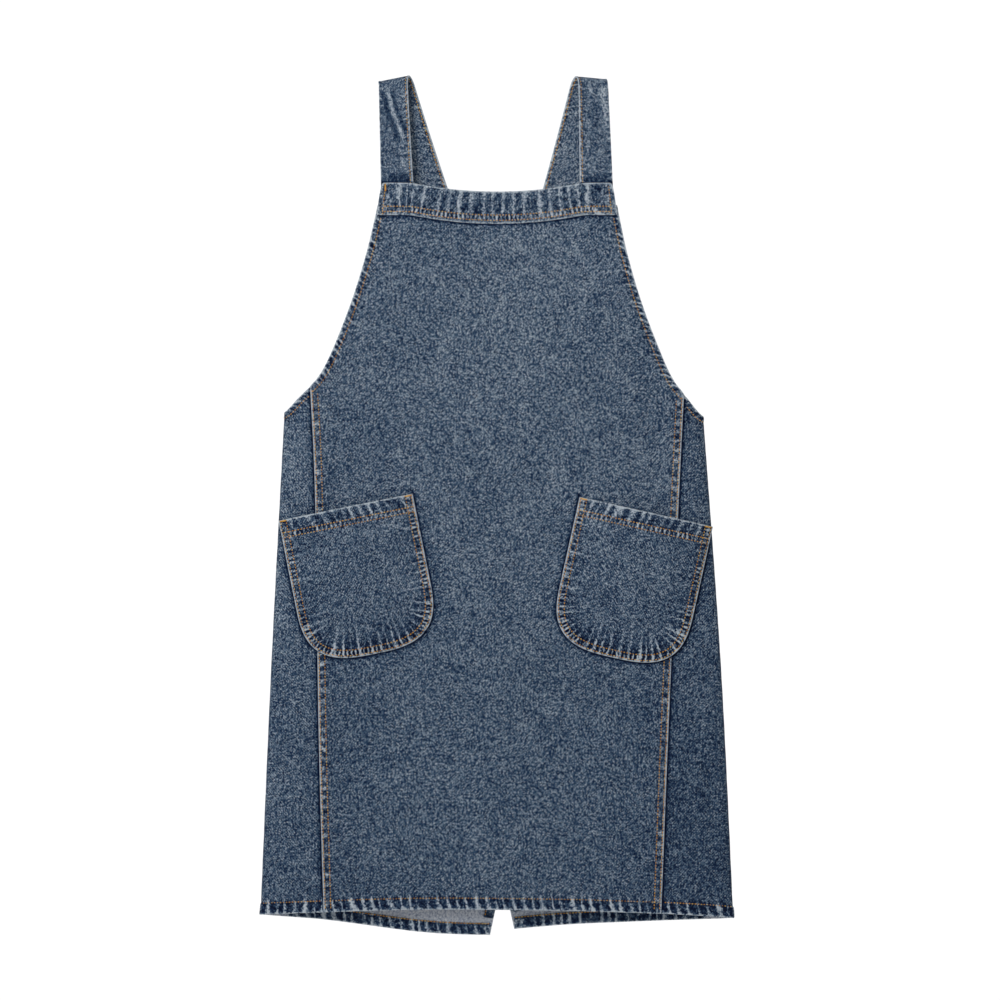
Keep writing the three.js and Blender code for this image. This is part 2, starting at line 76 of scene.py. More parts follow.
# ---- sizes ----
PLY = 1.0  # one layer of denim
STEP = 1.35  # from one layer to the next
CAP = 28.0  # how far in from a side fold the cross-section is curved
SEAM_LAP = 12.0  # the side panel runs on under the front panel
SEAM_ROWS = (2.0, 8.3)  # the seam's stitch rows, in from the front panel's folded edge
BODY_ROW = 13.2  # a hem's stitch row, above its edge
ARMHOLE_ROW = 6.8
HEM_SETBACK = 0.45  # the turned hems lie this far inside their edges
SHOULDER_RISE = 10.0  # height of the rounded part of a strap's fold
TUCK = 2.4  # the strap's back run spreads this much further out behind its front run, above the band
HEM_TURN = (0.5, 14.0)  # a turned hem lies between these distances from its cloth's edge
ARMHOLE_TURN = (0.5, 8.0)
CENTRE_BACK_TURN = (0.5, 12.0)
BACK_NECK_TURN = (0.5, 9.0)
SEAM_TURN = (1.0, 10.0)  # the felled seam's allowance, in from the front panel's folded edge
FRONT_HEM_SPAN = (13.0, -13.0)  # a piece starts this far after a line's start and stops before its end
ARMHOLE_HEM_SPAN = (24.0, -2.0)
HEM_CLEARANCE = 15.5  # the seams' and the centre back's inner layers stop this far above the bottom
SEAM_TURN_SPAN = (18.0, -HEM_CLEARANCE)
CENTRE_BACK_TOP = -500.0  # the centre back's turned hem starts at this height
PANEL_TOP_RANGE = (-133.0, 133.0)  # the front panel's top edge is read between these places
ARMHOLE_RANGE = (-373.5, -167.0)  # and the armhole hem's edge between these heights
CENTRE_BACK_ROW = 10.6
BACK_NECK_ROW = 6.6
STRAP_ROW = 3.4
BAND_ROWS = (27.0, 33.0)
BAND_END_ROW = 6.2
TACK_PITCH = 0.55  # a bar tack's stitches lie this close together
TACK_WIDTH = 1.9
FLAP_HEM_END = 205.0  # the flap's hem is read out to here, and runs on straight to the side fold
STRAP_FACE_TOP = -20.0  # a strap's two faces are read below this height, under its rounded fold
STRAP_FADE = 60.0  # the straps start to follow the drape this far down, and do so fully at twice that
TUCK_LOW, TUCK_FADE = -150.0, 25.0  # the height at which the tuck ends, and how far it fades over
POCKET_STRAIGHT = 100.0  # how far down a pocket's sides run straight
POCKET_ROUNDNESS = 3.0
POCKET_BULGE = 8.0
POCKET_DROP = 6.0  # how far a pocket's outer edge leans back over the side fold
POCKET_SETTLE = 1.1  # the sewn edges lie this much closer to the panel
MOUTH_HEM = 17.0
MOUTH_ROWS = (14.6, 20.4)
POCKET_ROWS = (2.3, 8.7)
POCKET_WEAR = [(0.0, 0.15), (0.2, 0.2), (0.3, 0.55), (0.45, 0.7), (0.68, 0.6), (0.8, 0.25), (1.0, 0.15)]
STITCH_PITCH = 3.5
STITCH_GAP = 1.2
THREAD_RADIUS = 0.56
GRID = 2.7  # spacing of the large panels' meshes
FINE_GRID = 1.7  # and of the small pieces'
EDGE_STEPS = np.array([0.15, 0.3, 0.45, 0.6, 0.8, 1.0, 1.2, 1.4, 1.7, 2.0, 2.3, 2.6])

RIGHT = np.array([1.0, 0.0])
UP = np.array([0.0, 1.0])
FRONT_VIEW = (0, 2)
SIDE_VIEW = (1, 2)


# ---- small tools ----
def mix(a, b, t):
    return a + (b - a) * t


def smoothstep(t):
    t = np.clip(t, 0.0, 1.0)
    return t * t * (3.0 - 2.0 * t)


def bump(distance, width):
    return np.exp(-((distance / width) ** 2))


def pairs(a, b):
    """Places (a, b), from two rows of numbers or from a row and a single number."""
    return np.stack(np.broadcast_arrays(a, b), axis=1)


def line_length(line):
    return np.linalg.norm(np.diff(line, axis=0), axis=1).sum()


def walk_along(line):
    """How far along a line each of its points lies."""
    return np.concatenate([[0.0], np.cumsum(np.linalg.norm(np.diff(line, axis=0), axis=1))])


def wave(phase, seed):
    """Smooth noise from -1 to 1 along a line, with one random value at each whole number."""
    values = np.random.default_rng(seed).uniform(-1.0, 1.0, 4096)
    whole = np.floor(phase).astype(int)
    return mix(values[whole % 4096], values[(whole + 1) % 4096], smoothstep(phase - whole))


def hills(x, z, pitch, seed):
    """Smooth noise from -1 to 1 over a plane."""
    values = np.random.default_rng(seed).uniform(-1.0, 1.0, (256, 256))
    column, row = x / pitch + 60.3, z / pitch + 120.7
    i, j = np.floor(column).astype(int), np.floor(row).astype(int)
    s, t = smoothstep(column - i), smoothstep(row - j)
    i, j = i % 255, j % 255
    low = mix(values[i, j], values[i + 1, j], s)
    high = mix(values[i, j + 1], values[i + 1, j + 1], s)
    return mix(low, high, t)


# ---- outlines, read from the CAD nodes ----
def corners(node):
    return 1000.0 * np.array([v.co for v in NODES[node].data.vertices])


def outline(nodes, along, across, pick, view=FRONT_VIEW, trim=(0.5, 0.5), within=None, count=160):
    """How far the nodes reach towards `across`, as a function of the place along `along`.

    It is read between the two places of `within`, or over the nodes' length less `trim`.
    Past them it runs on straight."""
    ends = []
    for node in nodes:
        flat = corners(node)[:, view]
        ends.append(flat[[edge.vertices[:] for edge in NODES[node].data.edges]])
    ends = np.concatenate(ends)
    a, b = ends @ along, ends @ across
    first, last = within or (a.min() + trim[0], a.max() - trim[1])
    places = np.linspace(first, last, count)
    reached = []
    for place in places:
        hit = (a.min(1) <= place) & (a.max(1) >= place) & (np.ptp(a, axis=1) > 1e-6)
        share = (place - a[hit, 0]) / (a[hit, 1] - a[hit, 0])
        reached.append(pick(mix(b[hit, 0], b[hit, 1], share)))
    reached = np.array(reached)
    for _ in range(3):
        reached[1:-1] = (reached[:-2] + 2.0 * reached[1:-1] + reached[2:]) / 4.0
    first = (reached[3] - reached[0]) / (places[3] - places[0])
    last = (reached[-1] - reached[-4]) / (places[-1] - places[-4])
    places = np.concatenate([[places[0] - 100.0], places, [places[-1] + 100.0]])
    reached = np.concatenate([[reached[0] - 100.0 * first], reached, [reached[-1] + 100.0 * last]])
    return lambda value: np.interp(value, places, reached)


front_hem = outline(["front_panel", "left_side_panel", "right_side_panel"], RIGHT, UP, min)
panel_top = outline(["front_panel"], RIGHT, UP, max, within=PANEL_TOP_RANGE)
band_top = outline(["bib_band"], RIGHT, UP, max)
band_bottom = outline(["bib_band"], RIGHT, UP, min)
WRAP_DEPTH = corners("left_back_panel")[:, 1].max()
BAND_FACE = -corners("bib_band")[:, 1].min()
PANEL_FACE = WRAP_DEPTH + STEP


class Side:
    """The outlines of one side's pieces, with distances counted outwards from the middle."""

    def __init__(self, name, sign):
        out = sign * RIGHT
        self.name = name
        self.sign = sign
        self.panel_edge = outline(["front_panel"], UP, out, max, trim=(8.0, 0.5))
        armhole_hem, seam_row = f"{name}_armhole_hem", f"{name}_seam_topstitch_outer"
        self.hem_edge = outline([armhole_hem], UP, out, max, within=ARMHOLE_RANGE)
        self.seam_row = outline([seam_row], UP, out, max, trim=(1.0, 1.0))
        self.fold = outline([f"{name}_side_fold"], UP, out, max, trim=(8.0, 15.0))
        self.slit = outline([f"{name}_back_flap"], UP, out, min, trim=(3.0, 2.0))
        top_range = (self.slit(-450.0) + 1.0, self.fold(-400.0) - 13.0)
        self.back_top = outline([f"{name}_back_panel"], out, UP, max, within=top_range)
        hem_range = (self.slit(-985.0) + 1.0, FLAP_HEM_END)
        self.flap_hem = outline([f"{name}_back_flap"], out, UP, min, within=hem_range)
        self.fold_low = corners(f"{name}_side_fold")[:, 2].min()
        self.band_end = outline(["bib_band"], UP, out, max, trim=(13.0, 1.0))
        front, back = [f"{name}_strap_front"], [f"{name}_strap_back"]
        self.strap_front = [outline(front, UP, out, pick, trim=(0.5, 12.0)) for pick in (min, max)]
        self.strap_back = [outline(back, UP, out, pick, trim=(0.5, 14.0)) for pick in (min, max)]
        self.strap_front_face = outline(front, UP, -RIGHT, max, SIDE_VIEW)
        self.strap_back_face = outline(back, UP, RIGHT, max, SIDE_VIEW)
        self.shoulder = outline([f"{name}_strap_shoulder"], out, UP, max)
        self.strap_low_front = corners(front[0])[:, 2].min()
        self.strap_low_back = corners(back[0])[:, 2].min()
        heights = np.linspace(-340.0, -380.0, 200)
        self.seam_top = heights[np.argmax(self.armhole(heights) > self.seam(heights))]
        joint = next(j for j in frame["joints"] if j["child"] == f"{name}_flap")
        self.hinge = 1000.0 * np.array(joint["pos_m"])
        self.hinge_axis = np.array(joint["axis"])

    def armhole(self, z):
        """The armhole's edge, which runs on over the side panel to the side fold."""
        return mix(self.hem_edge(z) + HEM_SETBACK, self.panel_edge(z), smoothstep((z + 195.0) / 25.0))

    def armhole_height(self, distance):
        heights = np.linspace(-140.0, -400.0, 300)
        return np.interp(distance, self.armhole(heights), heights)

    def seam(self, z):
        return self.seam_row(z) + SEAM_ROWS[0]

    def front_edge(self, z):
        return np.minimum(self.armhole(z), self.seam(z))

    def back_hem(self, distance):
        """The back's lower edge: the flap's, and then straight on to the foot of the side fold."""
        tip = self.fold(self.fold_low)
        share = np.clip((distance - FLAP_HEM_END) / (tip - FLAP_HEM_END), 0.0, 1.0)
        return mix(self.flap_hem(np.minimum(distance, FLAP_HEM_END)), self.fold_low, share)

    def cap(self, distance, z):
        """0 where the cross-section starts to curve and 1 on the side fold."""
        return np.clip((distance - self.fold(z) + CAP) / CAP, 0.0, 1.0)


LEFT, RIGHT_SIDE = Side("left", -1.0), Side("right", 1.0)
SIDES = (LEFT, RIGHT_SIDE)


def cap_share(x, z):
    return np.where(x < 0.0, LEFT.cap(-x, z), RIGHT_SIDE.cap(x, z))


# ---- how the cloth hangs ----
def crease(x, z, start, end, width):
    """1 along a soft crease and 0 away from it, fading at its two ends."""
    start, end = np.array(start), np.array(end)
    run = end - start
    length = np.hypot(*run)
    along = ((x - start[0]) * run[0] + (z - start[1]) * run[1]) / length ** 2
    aside = ((x - start[0]) * run[1] - (z - start[1]) * run[0]) / length
    return bump(aside, width) * smoothstep(4.0 * along) * smoothstep(4.0 * (1.0 - along))


FRONT_CREASES = [
    # start, end, width, depth: positive lies further back
    ((-186, -845), (-95, -930), 16.0, 1.6),
    ((-150, -838), (-70, -935), 14.0, -1.2),
    ((176, -330), (186, -480), 13.0, 1.7),
    ((150, -350), (160, -500), 16.0, -1.0),
    ((245, -790), (252, -905), 9.0, 1.6),
    ((228, -760), (232, -900), 9.0, -1.0),
    ((-120, -215), (-95, -330), 16.0, 1.3),
    ((95, -215), (120, -180), 9.0, 1.2),
    ((20, -600), (-10, -800), 30.0, -1.4),
    ((70, -640), (60, -850), 26.0, 1.5),
]


def front_drape(x, z):
    down = smoothstep((-z - 300.0) / 600.0)
    swing = 1.5 * down * np.sin(2.0 * np.pi * x / 205.0 + 0.0022 * z + 0.9)
    uneven = 0.9 * hills(x, z, 75.0, 5) + 0.35 * hills(x, z, 31.0, 6)
    folds = sum(depth * crease(x, z, a, b, width) for a, b, width, depth in FRONT_CREASES)
    return (swing + uneven + folds) * (1.0 - cap_share(x, z) ** 2)


def back_drape(x, z):
    down = smoothstep((-z - 420.0) / 500.0)
    swing = 1.3 * down * np.sin(2.0 * np.pi * x / 170.0 + 0.6)
    uneven = 0.7 * hills(x, z, 70.0, 15) + 0.3 * hills(x, z, 30.0, 16)
    return (swing + uneven) * (1.0 - cap_share(x, z) ** 2)


def measure(line, flat, signed=False):
    """Each place's distance from a line, and how far along the line its nearest place is.

    A signed distance is positive on the line's left."""
    steps = np.diff(line, axis=0)
    lengths = np.linalg.norm(steps, axis=1)
    walked = np.concatenate([[0.0], np.cumsum(lengths)])
    nearest, along = np.full(len(flat), 1e9), np.zeros(len(flat))
    for start, step, length, before in zip(line, steps, lengths, walked):
        share = np.clip((flat - start) @ step / length ** 2, 0.0, 1.0)
        apart = flat - start - share[:, None] * step
        distance = np.linalg.norm(apart, axis=1)
        closer = distance < np.abs(nearest)
        if signed:
            distance = distance * np.where(step[0] * apart[:, 1] - step[1] * apart[:, 0] < 0.0, -1.0, 1.0)
        nearest[closer] = distance[closer]
        along[closer] = before + share[closer] * length
    return nearest, along


def inset(line, distance):
    """A line beside another, on its left as it runs."""
    tangent = np.gradient(line, axis=0)
    tangent /= np.linalg.norm(tangent, axis=1)[:, None]
    return line + distance * pairs(-tangent[:, 1], tangent[:, 0])


class Rim:
    """A folded, stitched edge. Its streaks run across it, worn light on the ridges and dark between them."""

    def __init__(self, line, hem, rows, pitch, slant=0.0, height=0.3, streak=0.4, edge=0.45,
                 reach=3.0, lane=None, jitter=0.42, seed=1):
        self.line = line
        self.hem = hem
        self.rows = rows
        self.pitch = pitch
        self.slant = slant
        self.height = height
        # one strength, or (share of the line's length, strength) pairs
        self.streak = streak if np.ndim(streak) else [(0.0, streak)]
        self.edge = edge
        self.reach = reach  # how far the streaks run on past the hem
        self.lane = lane  # (first row, second row, pitch, strength) of the dashes between two rows
        self.jitter = jitter  # how unevenly the streaks follow each other
        self.seed = seed

    def act(self, flat, result):
        distance, along = measure(self.line, flat)
        past = np.maximum(0.0, distance - self.hem)
        phase = (along + self.slant * np.minimum(distance, self.hem + 4.0)) / self.pitch
        phase = phase + self.jitter * wave(0.8 * along / self.pitch, self.seed) + 17.0 * (self.seed % 40)
        inside = smoothstep(distance / 1.5) * smoothstep((self.hem + 1.0 - distance) / 2.0)
        beyond = smoothstep((distance - self.hem + 1.0) / 2.0) * np.exp(-past / self.reach)
        result["relief"] += 0.4 * smoothstep((self.hem + 1.5 - distance) / 3.0)
        result["relief"] += self.height * np.cos(2.0 * np.pi * phase) * (inside + 0.55 * beyond)
        for row in self.rows:
            result["relief"] -= 0.45 * bump(distance - row, 0.9)
        strength = np.interp(along / line_length(self.line), *np.transpose(self.streak))
        closer = distance / self.hem < result["rim"][:, 1]
        result["rim"][closer] = np.stack([phase, distance / self.hem, distance], axis=1)[closer]
        result["look"][closer] = [0.0, self.edge, self.hem / self.reach]
        result["look"][closer, 0] = strength[closer]
        if self.lane:
            first, second, pitch, boldness = self.lane
            share = (distance - (first + second) / 2.0) / ((second - first) / 2.0)
            closer = np.abs(share) < np.abs(result["lane"][:, 1])
            result["lane"][closer, 0] = along[closer] / pitch + 31.0 * (self.seed % 40)
            result["lane"][closer, 1] = share[closer]
            uneven = 0.75 + 0.45 * wave(along[closer] / 30.0, self.seed + 3)
            result["lane"][closer, 2] = boldness * uneven * (0.4 + 1.2 * strength[closer])


class ShadowAndUnfadedLine:
    """Painted shadow: the dark line that another piece's overlying edge casts on the cloth below it, where
    the denim is also left darker and unfaded.
    """

    def __init__(self, line, strength):
        self.line = line
        self.strength = strength

    def act(self, flat, result):
        distance, _ = measure(self.line, flat, signed=True)
        closer = np.abs(distance) < np.abs(result["shadow_and_unfaded"][:, 0])
        result["shadow_and_unfaded"][closer, 0] = distance[closer]
        result["shadow_and_unfaded"][closer, 1] = self.strength


class Mark:
    """A soft line where the cloth is painted darker or lighter (worn crease ridges, and painted shade) and
    lies lower or higher.
    """

    def __init__(self, line, width, wear_and_shade, relief=0.0):
        self.line = np.array(line, float)
        self.width = width
        self.wear_and_shade = wear_and_shade
        self.relief = relief

    def act(self, flat, result):
        distance, along = measure(self.line, flat)
        length = line_length(self.line)
        fade = smoothstep(5.0 * along / length) * smoothstep(5.0 * (1.0 - along / length))
        result["wear_and_shade"] += self.wear_and_shade * fade * bump(distance, self.width)
        result["relief"] += self.relief * fade * bump(distance, self.width)


MARKINGS = ("rim", "look", "lane", "shadow_and_unfaded")  # what the features tell the material at each place


class Cut:
    """A cut of cloth: place(a, b) lays its flat pattern out in space, and features shape its surface."""

    def __init__(self, place, features=(), flip=1.0, tint=None, twill=1.0, seed=0):
        self.place = place
        self.features = list(features)
        self.flip = flip
        self.tint = tint
        self.twill = twill
        self.seed = seed

    def normal(self, flat):
        reach = 0.4
        across = self.place(flat[:, 0] + reach, flat[:, 1]) - self.place(flat[:, 0] - reach, flat[:, 1])
        along = self.place(flat[:, 0], flat[:, 1] + reach) - self.place(flat[:, 0], flat[:, 1] - reach)
        normal = self.flip * np.cross(across, along)
        return normal / np.linalg.norm(normal, axis=1)[:, None]

    def effects(self, flat):
        count = len(flat)
        result = {"relief": np.zeros(count), "wear_and_shade": np.zeros(count), "look": np.zeros((count, 3))}
        for label in ("rim", "lane", "shadow_and_unfaded"):
            result[label] = np.full((count, 3), 99.0)
        result["lane"][:, 2] = 0.0
        result["shadow_and_unfaded"][:, 1:] = 0.0
        for feature in self.features:
            feature.act(flat, result)
        return result

    def at(self, flat, out):
        return self.place(flat[:, 0], flat[:, 1]) + self.normal(flat) * np.asarray(out).reshape(-1, 1)


# ---- meshes ----
def new_object(name, points, faces, materials, indices=None, attributes=()):
    mesh = bpy.data.meshes.new(name)
    mesh.from_pydata((np.asarray(points) / 1000.0).tolist(), [], faces)
    for material in materials:
        mesh.materials.append(material)
    if indices is not None:
        mesh.polygons.foreach_set("material_index", indices)
    mesh.polygons.foreach_set("use_smooth", [True] * len(mesh.polygons))
    for label, values in dict(attributes).items():
        values = np.asarray(values, np.float32)
        kind, field = ("FLOAT", "value") if values.ndim == 1 else ("FLOAT_VECTOR", "vector")
        mesh.attributes.new(label, kind, "POINT").data.foreach_set(field, values.ravel())
    mesh.update()
    obj = bpy.data.objects.new(name, mesh)
    bpy.context.scene.collection.objects.link(obj)
    return obj


def marks(length, spacing, first=True, last=True):
    """Places from 0 to 1 along a length, closer together at the ends that are asked for."""
    steps = EDGE_STEPS if length > 4.0 * EDGE_STEPS.sum() else EDGE_STEPS[:5]
    low = np.concatenate([[0.0], np.cumsum(steps)]) if first else np.array([0.0])
    high = length - (np.concatenate([[0.0], np.cumsum(steps)]) if last else np.array([0.0]))
    count = max(2, int(round((high[-1] - low[-1]) / spacing)))
    middle = np.linspace(low[-1], high[-1], count + 1)[1:-1]
    return np.concatenate([low, middle, high[::-1]]) / length


def grid_faces(rows, columns, start, turned):
    corner = start + np.arange(rows - 1)[:, None] * columns + np.arange(columns - 1)[None, :]
    quads = np.stack([corner, corner + 1, corner + columns + 1, corner + columns], axis=-1).reshape(-1, 4)
    return quads[:, ::-1] if turned else quads


def edge_distance(points):
    """How far each place of a grid is from the grid's nearest edge."""
    def walked(grid):
        steps = np.linalg.norm(np.diff(grid, axis=1), axis=2)
        return np.concatenate([np.zeros((len(grid), 1)), np.cumsum(steps, axis=1)], axis=1)
    across = walked(points)
    down = walked(points.transpose(1, 0, 2)).T
    far = [across[:, -1:] - across, down[-1:, :] - down]
    return np.minimum(np.minimum(across, far[0]), np.minimum(down, far[1]))


def make_cloth(name, cut, flat, out=0.0, thick=PLY, right_faces="outer", round_edge=0.9, shaped=True):
    """A closed sheet over a grid of flat places. `out` is how far its outer face stands off the cut."""
    rows, columns = flat.shape[:2]
    places = flat.reshape(-1, 2)
    effects = cut.effects(places)
    relief = effects["relief"] if shaped else 0.4 * effects["relief"]
    base = cut.place(places[:, 0], places[:, 1])
    normal = cut.normal(places)
    inward = edge_distance(base.reshape(rows, columns, 3)).ravel()
    rounding = np.sqrt(1.0 - (1.0 - np.clip(inward / round_edge, 0.0, 1.0)) ** 2)
    half = 0.5 * thick * np.maximum(rounding, 0.12)
    middle = base + normal * (out + relief - 0.5 * thick)[:, None]
    points = np.concatenate([middle + normal * half[:, None], middle - normal * half[:, None]])
    count = rows * columns
    r, c = rows // 2, columns // 2
    grid = base.reshape(rows, columns, 3)
    face = np.cross(grid[r, c + 1] - grid[r, c], grid[r + 1, c] - grid[r, c])
    turned = face @ normal[r * columns + c] < 0.0
    outer = grid_faces(rows, columns, 0, turned)
    inner = grid_faces(rows, columns, count, not turned)
    index = np.arange(count).reshape(rows, columns)
    ring = np.concatenate([index[0, :-1], index[:-1, -1], index[-1, :0:-1], index[:0:-1, 0]])
    onward = np.roll(ring, -1)
    rim = np.stack([ring, ring + count, onward + count, onward], axis=1)
    rim = rim[:, ::-1] if turned else rim
    faces = np.concatenate([outer, inner, rim])
    wrong_outer, wrong_inner = right_faces == "inner", right_faces == "outer"
    slots = np.concatenate([
        np.full(len(outer), int(wrong_outer)), np.full(len(inner), int(wrong_inner)), np.zeros(len(rim))])
    weave = np.column_stack([cut.twill * places[:, 0], places[:, 1], np.full(count, 37.0 * cut.seed)])
    tint = cut.tint(base) if cut.tint else np.zeros(count)
    attributes = {"weave": np.tile(weave, (2, 1)), "wear_and_shade": np.tile(effects["wear_and_shade"], 2)}
    attributes["tint"] = np.tile(tint, 2)
    for label in MARKINGS:
        attributes[label] = np.tile(effects[label], (2, 1))
    materials = [DENIM, DENIM_WRONG]
    obj = new_object(name, points, faces.tolist(), materials, slots.astype(int).tolist(), attributes)
    return obj


def turned_hem(name, cut, flat, shaped=True):
    """A hem turned inside, one layer further in than the cloth that it belongs to."""
    return make_cloth(name, cut, flat, out=-STEP, right_faces="both", shaped=shaped)


STITCH_SHARES = np.array([0.0, 0.16, 0.5, 0.84, 1.0])
STITCH_WIDTHS = np.array([0.4, 0.9, 1.0, 0.9, 0.4])
STITCH_RISES = np.array([-1.0, 0.1, 0.35, 0.1, -1.0])
STITCH_SIDES = 6


def resample(points, normals, pitch, gap, rng):
    """The start and end of each stitch along a line of points, with the surface's normal there."""
    walked = walk_along(points)
    count = max(1, int(walked[-1] // pitch))
    starts = np.arange(count) * pitch + (walked[-1] - count * pitch) / 2.0 + gap / 2.0
    starts = starts + rng.uniform(-0.12, 0.12, count)
    ends = starts + pitch - gap

    def read(values, places):
        return np.stack([np.interp(places, walked, values[:, k]) for k in range(3)], axis=1)
    return read(points, starts), read(points, ends), read(normals, (starts + ends) / 2.0)


def make_stitches(name, runs, seed, pitch=STITCH_PITCH, gap=STITCH_GAP, radius=THREAD_RADIUS):
    """One mesh of separate stitches. runs is a list of (points, outward normals)."""
    rng = np.random.default_rng(seed)
    found = [resample(points, normals, pitch, gap, rng) for points, normals in runs]
    starts, ends, normals = (np.concatenate([part[k] for part in found]) for k in range(3))
    forward = ends - starts
    sideways = np.cross(forward, normals)
    sideways /= np.linalg.norm(sideways, axis=1)[:, None]
    angles = np.arange(STITCH_SIDES) * 2.0 * np.pi / STITCH_SIDES
    rings = len(STITCH_SHARES)
    shape = (len(starts), rings, STITCH_SIDES, 3)
    points = np.zeros(shape)
    lean = rng.uniform(-0.12, 0.12, len(starts))
    for k in range(rings):
        centre = starts + STITCH_SHARES[k] * forward + normals * (radius * STITCH_RISES[k])
        centre = centre + sideways * (lean * (STITCH_SHARES[k] - 0.5) * 2.0)[:, None]
        for m, angle in enumerate(angles):
            offset = math.cos(angle) * sideways + 0.8 * math.sin(angle) * normals
            points[:, k, m] = centre + radius * STITCH_WIDTHS[k] * offset
    per = rings * STITCH_SIDES
    template = []
    for k in range(rings - 1):
        for m in range(STITCH_SIDES):
            n = (m + 1) % STITCH_SIDES
            here, there = k * STITCH_SIDES, (k + 1) * STITCH_SIDES
            template.append([here + m, here + n, there + n, there + m])
    caps = [list(range(STITCH_SIDES))[::-1], [per - STITCH_SIDES + m for m in range(STITCH_SIDES)]]
    faces = []
    for i in range(len(starts)):
        faces += [[v + i * per for v in face] for face in template + caps]
    twist = np.zeros(shape[:3])
    twist[:] = rng.uniform(-1.0, 1.0, len(starts))[:, None, None]
    obj = new_object(name, points.reshape(-1, 3), faces, [THREAD], attributes={"shade": twist.ravel()})
    return obj


def seam_run(cut, line, out=0.0, face=1.0):
    """Where a row of stitches runs over a cut, on its outer face or, with face -1, on its inside."""
    normal = cut.normal(line)
    relief = cut.effects(line)["relief"]
    return cut.at(line, relief + out), face * normal


def part_of(line, start=0.0, end=0.0):
    """The part of a line between two distances along it, in even steps.

    An end of 0 or less counts back from the line's own end."""
    walked = walk_along(line)
    end = walked[-1] + end if end <= 0.0 else end
    places = np.linspace(start, end, max(2, int((end - start) / 2.0)))
    return np.stack([np.interp(places, walked, line[:, k]) for k in range(2)], axis=1)


def stitch_rows(name, cut, lines, seed):
    """Rows of stitches along lines on a cut's outer face."""
    return make_stitches(name, [seam_run(cut, line) for line in lines], seed)


# ---- materials ----
def linear(red, green, blue):
    """A colour given as it shows on a screen, 0 to 255, as the shader needs it."""
    return [((c / 255.0 + 0.055) / 1.055) ** 2.4 for c in (red, green, blue)] + [1.0]


class Shader:
    def __init__(self, name):
        self.material = bpy.data.materials.new(name)
        self.material.use_nodes = True
        self.tree = self.material.node_tree
        self.surface = self.tree.nodes["Principled BSDF"]

    def feed(self, socket, value):
        if isinstance(value, bpy.types.NodeSocket):
            self.tree.links.new(value, socket)
        else:
            socket.default_value = value

    def node(self, kind, inputs=(), **settings):
        node = self.tree.nodes.new("ShaderNode" + kind)
        for key, value in settings.items():
            setattr(node, key, value)
        for socket, value in dict(inputs).items():
            self.feed(node.inputs[socket], value)
        return node

    def math(self, operation, *values, clamp=False):
        node = self.node("Math", operation=operation, use_clamp=clamp)
        for socket, value in zip(node.inputs, values):
            self.feed(socket, value)
        return node.outputs[0]

    def times(self, *values, clamp=False):
        return self.math("MULTIPLY", *values, clamp=clamp)

    def minus(self, *values, clamp=False):
        return self.math("SUBTRACT", *values, clamp=clamp)

    def parts(self, vector):
        return self.node("SeparateXYZ", {"Vector": vector}).outputs

    def bell(self, value, width):
        """1 where the value is 0, falling away on both sides over the width."""
        share = self.math("DIVIDE", value, width)
        return self.math("EXPONENT", self.math("MULTIPLY", self.math("MULTIPLY", share, share), -1.0))

    def rungs(self, phase):
        """How far a phase is from its nearest whole number, and that number's own random value."""
        nearest = self.math("ROUND", phase)
        luck = self.node("TexWhiteNoise", {"W": nearest}, noise_dimensions="1D").outputs["Value"]
        return self.math("ABSOLUTE", self.math("SUBTRACT", phase, nearest)), luck

    def attribute(self, label, output):
        return self.node("Attribute", attribute_name=label).outputs[output]

    def noise(self, vector, scale, detail=1.0, roughness=0.5):
        inputs = {"Vector": vector, "Scale": scale, "Detail": detail, "Roughness": roughness}
        return self.math("SUBTRACT", self.node("TexNoise", inputs).outputs[0], 0.5)

    def stretched(self, vector, scale):
        return self.node("Mapping", {"Vector": vector, "Scale": scale}).outputs[0]

    def total(self, *terms):
        """The sum of (value, weight) pairs."""
        result = 0.0
        for value, weight in terms:
            result = self.math("MULTIPLY_ADD", value, weight, result)
        return result

    def ramp(self, value, stops):
        node = self.node("ValToRGB", {"Fac": value})
        elements = node.color_ramp.elements
        while len(elements) < len(stops):
            elements.new(0.5)
        for element, (position, colour) in zip(elements, stops):
            element.position = position
            element.color = linear(*colour)
        return node.outputs[0]


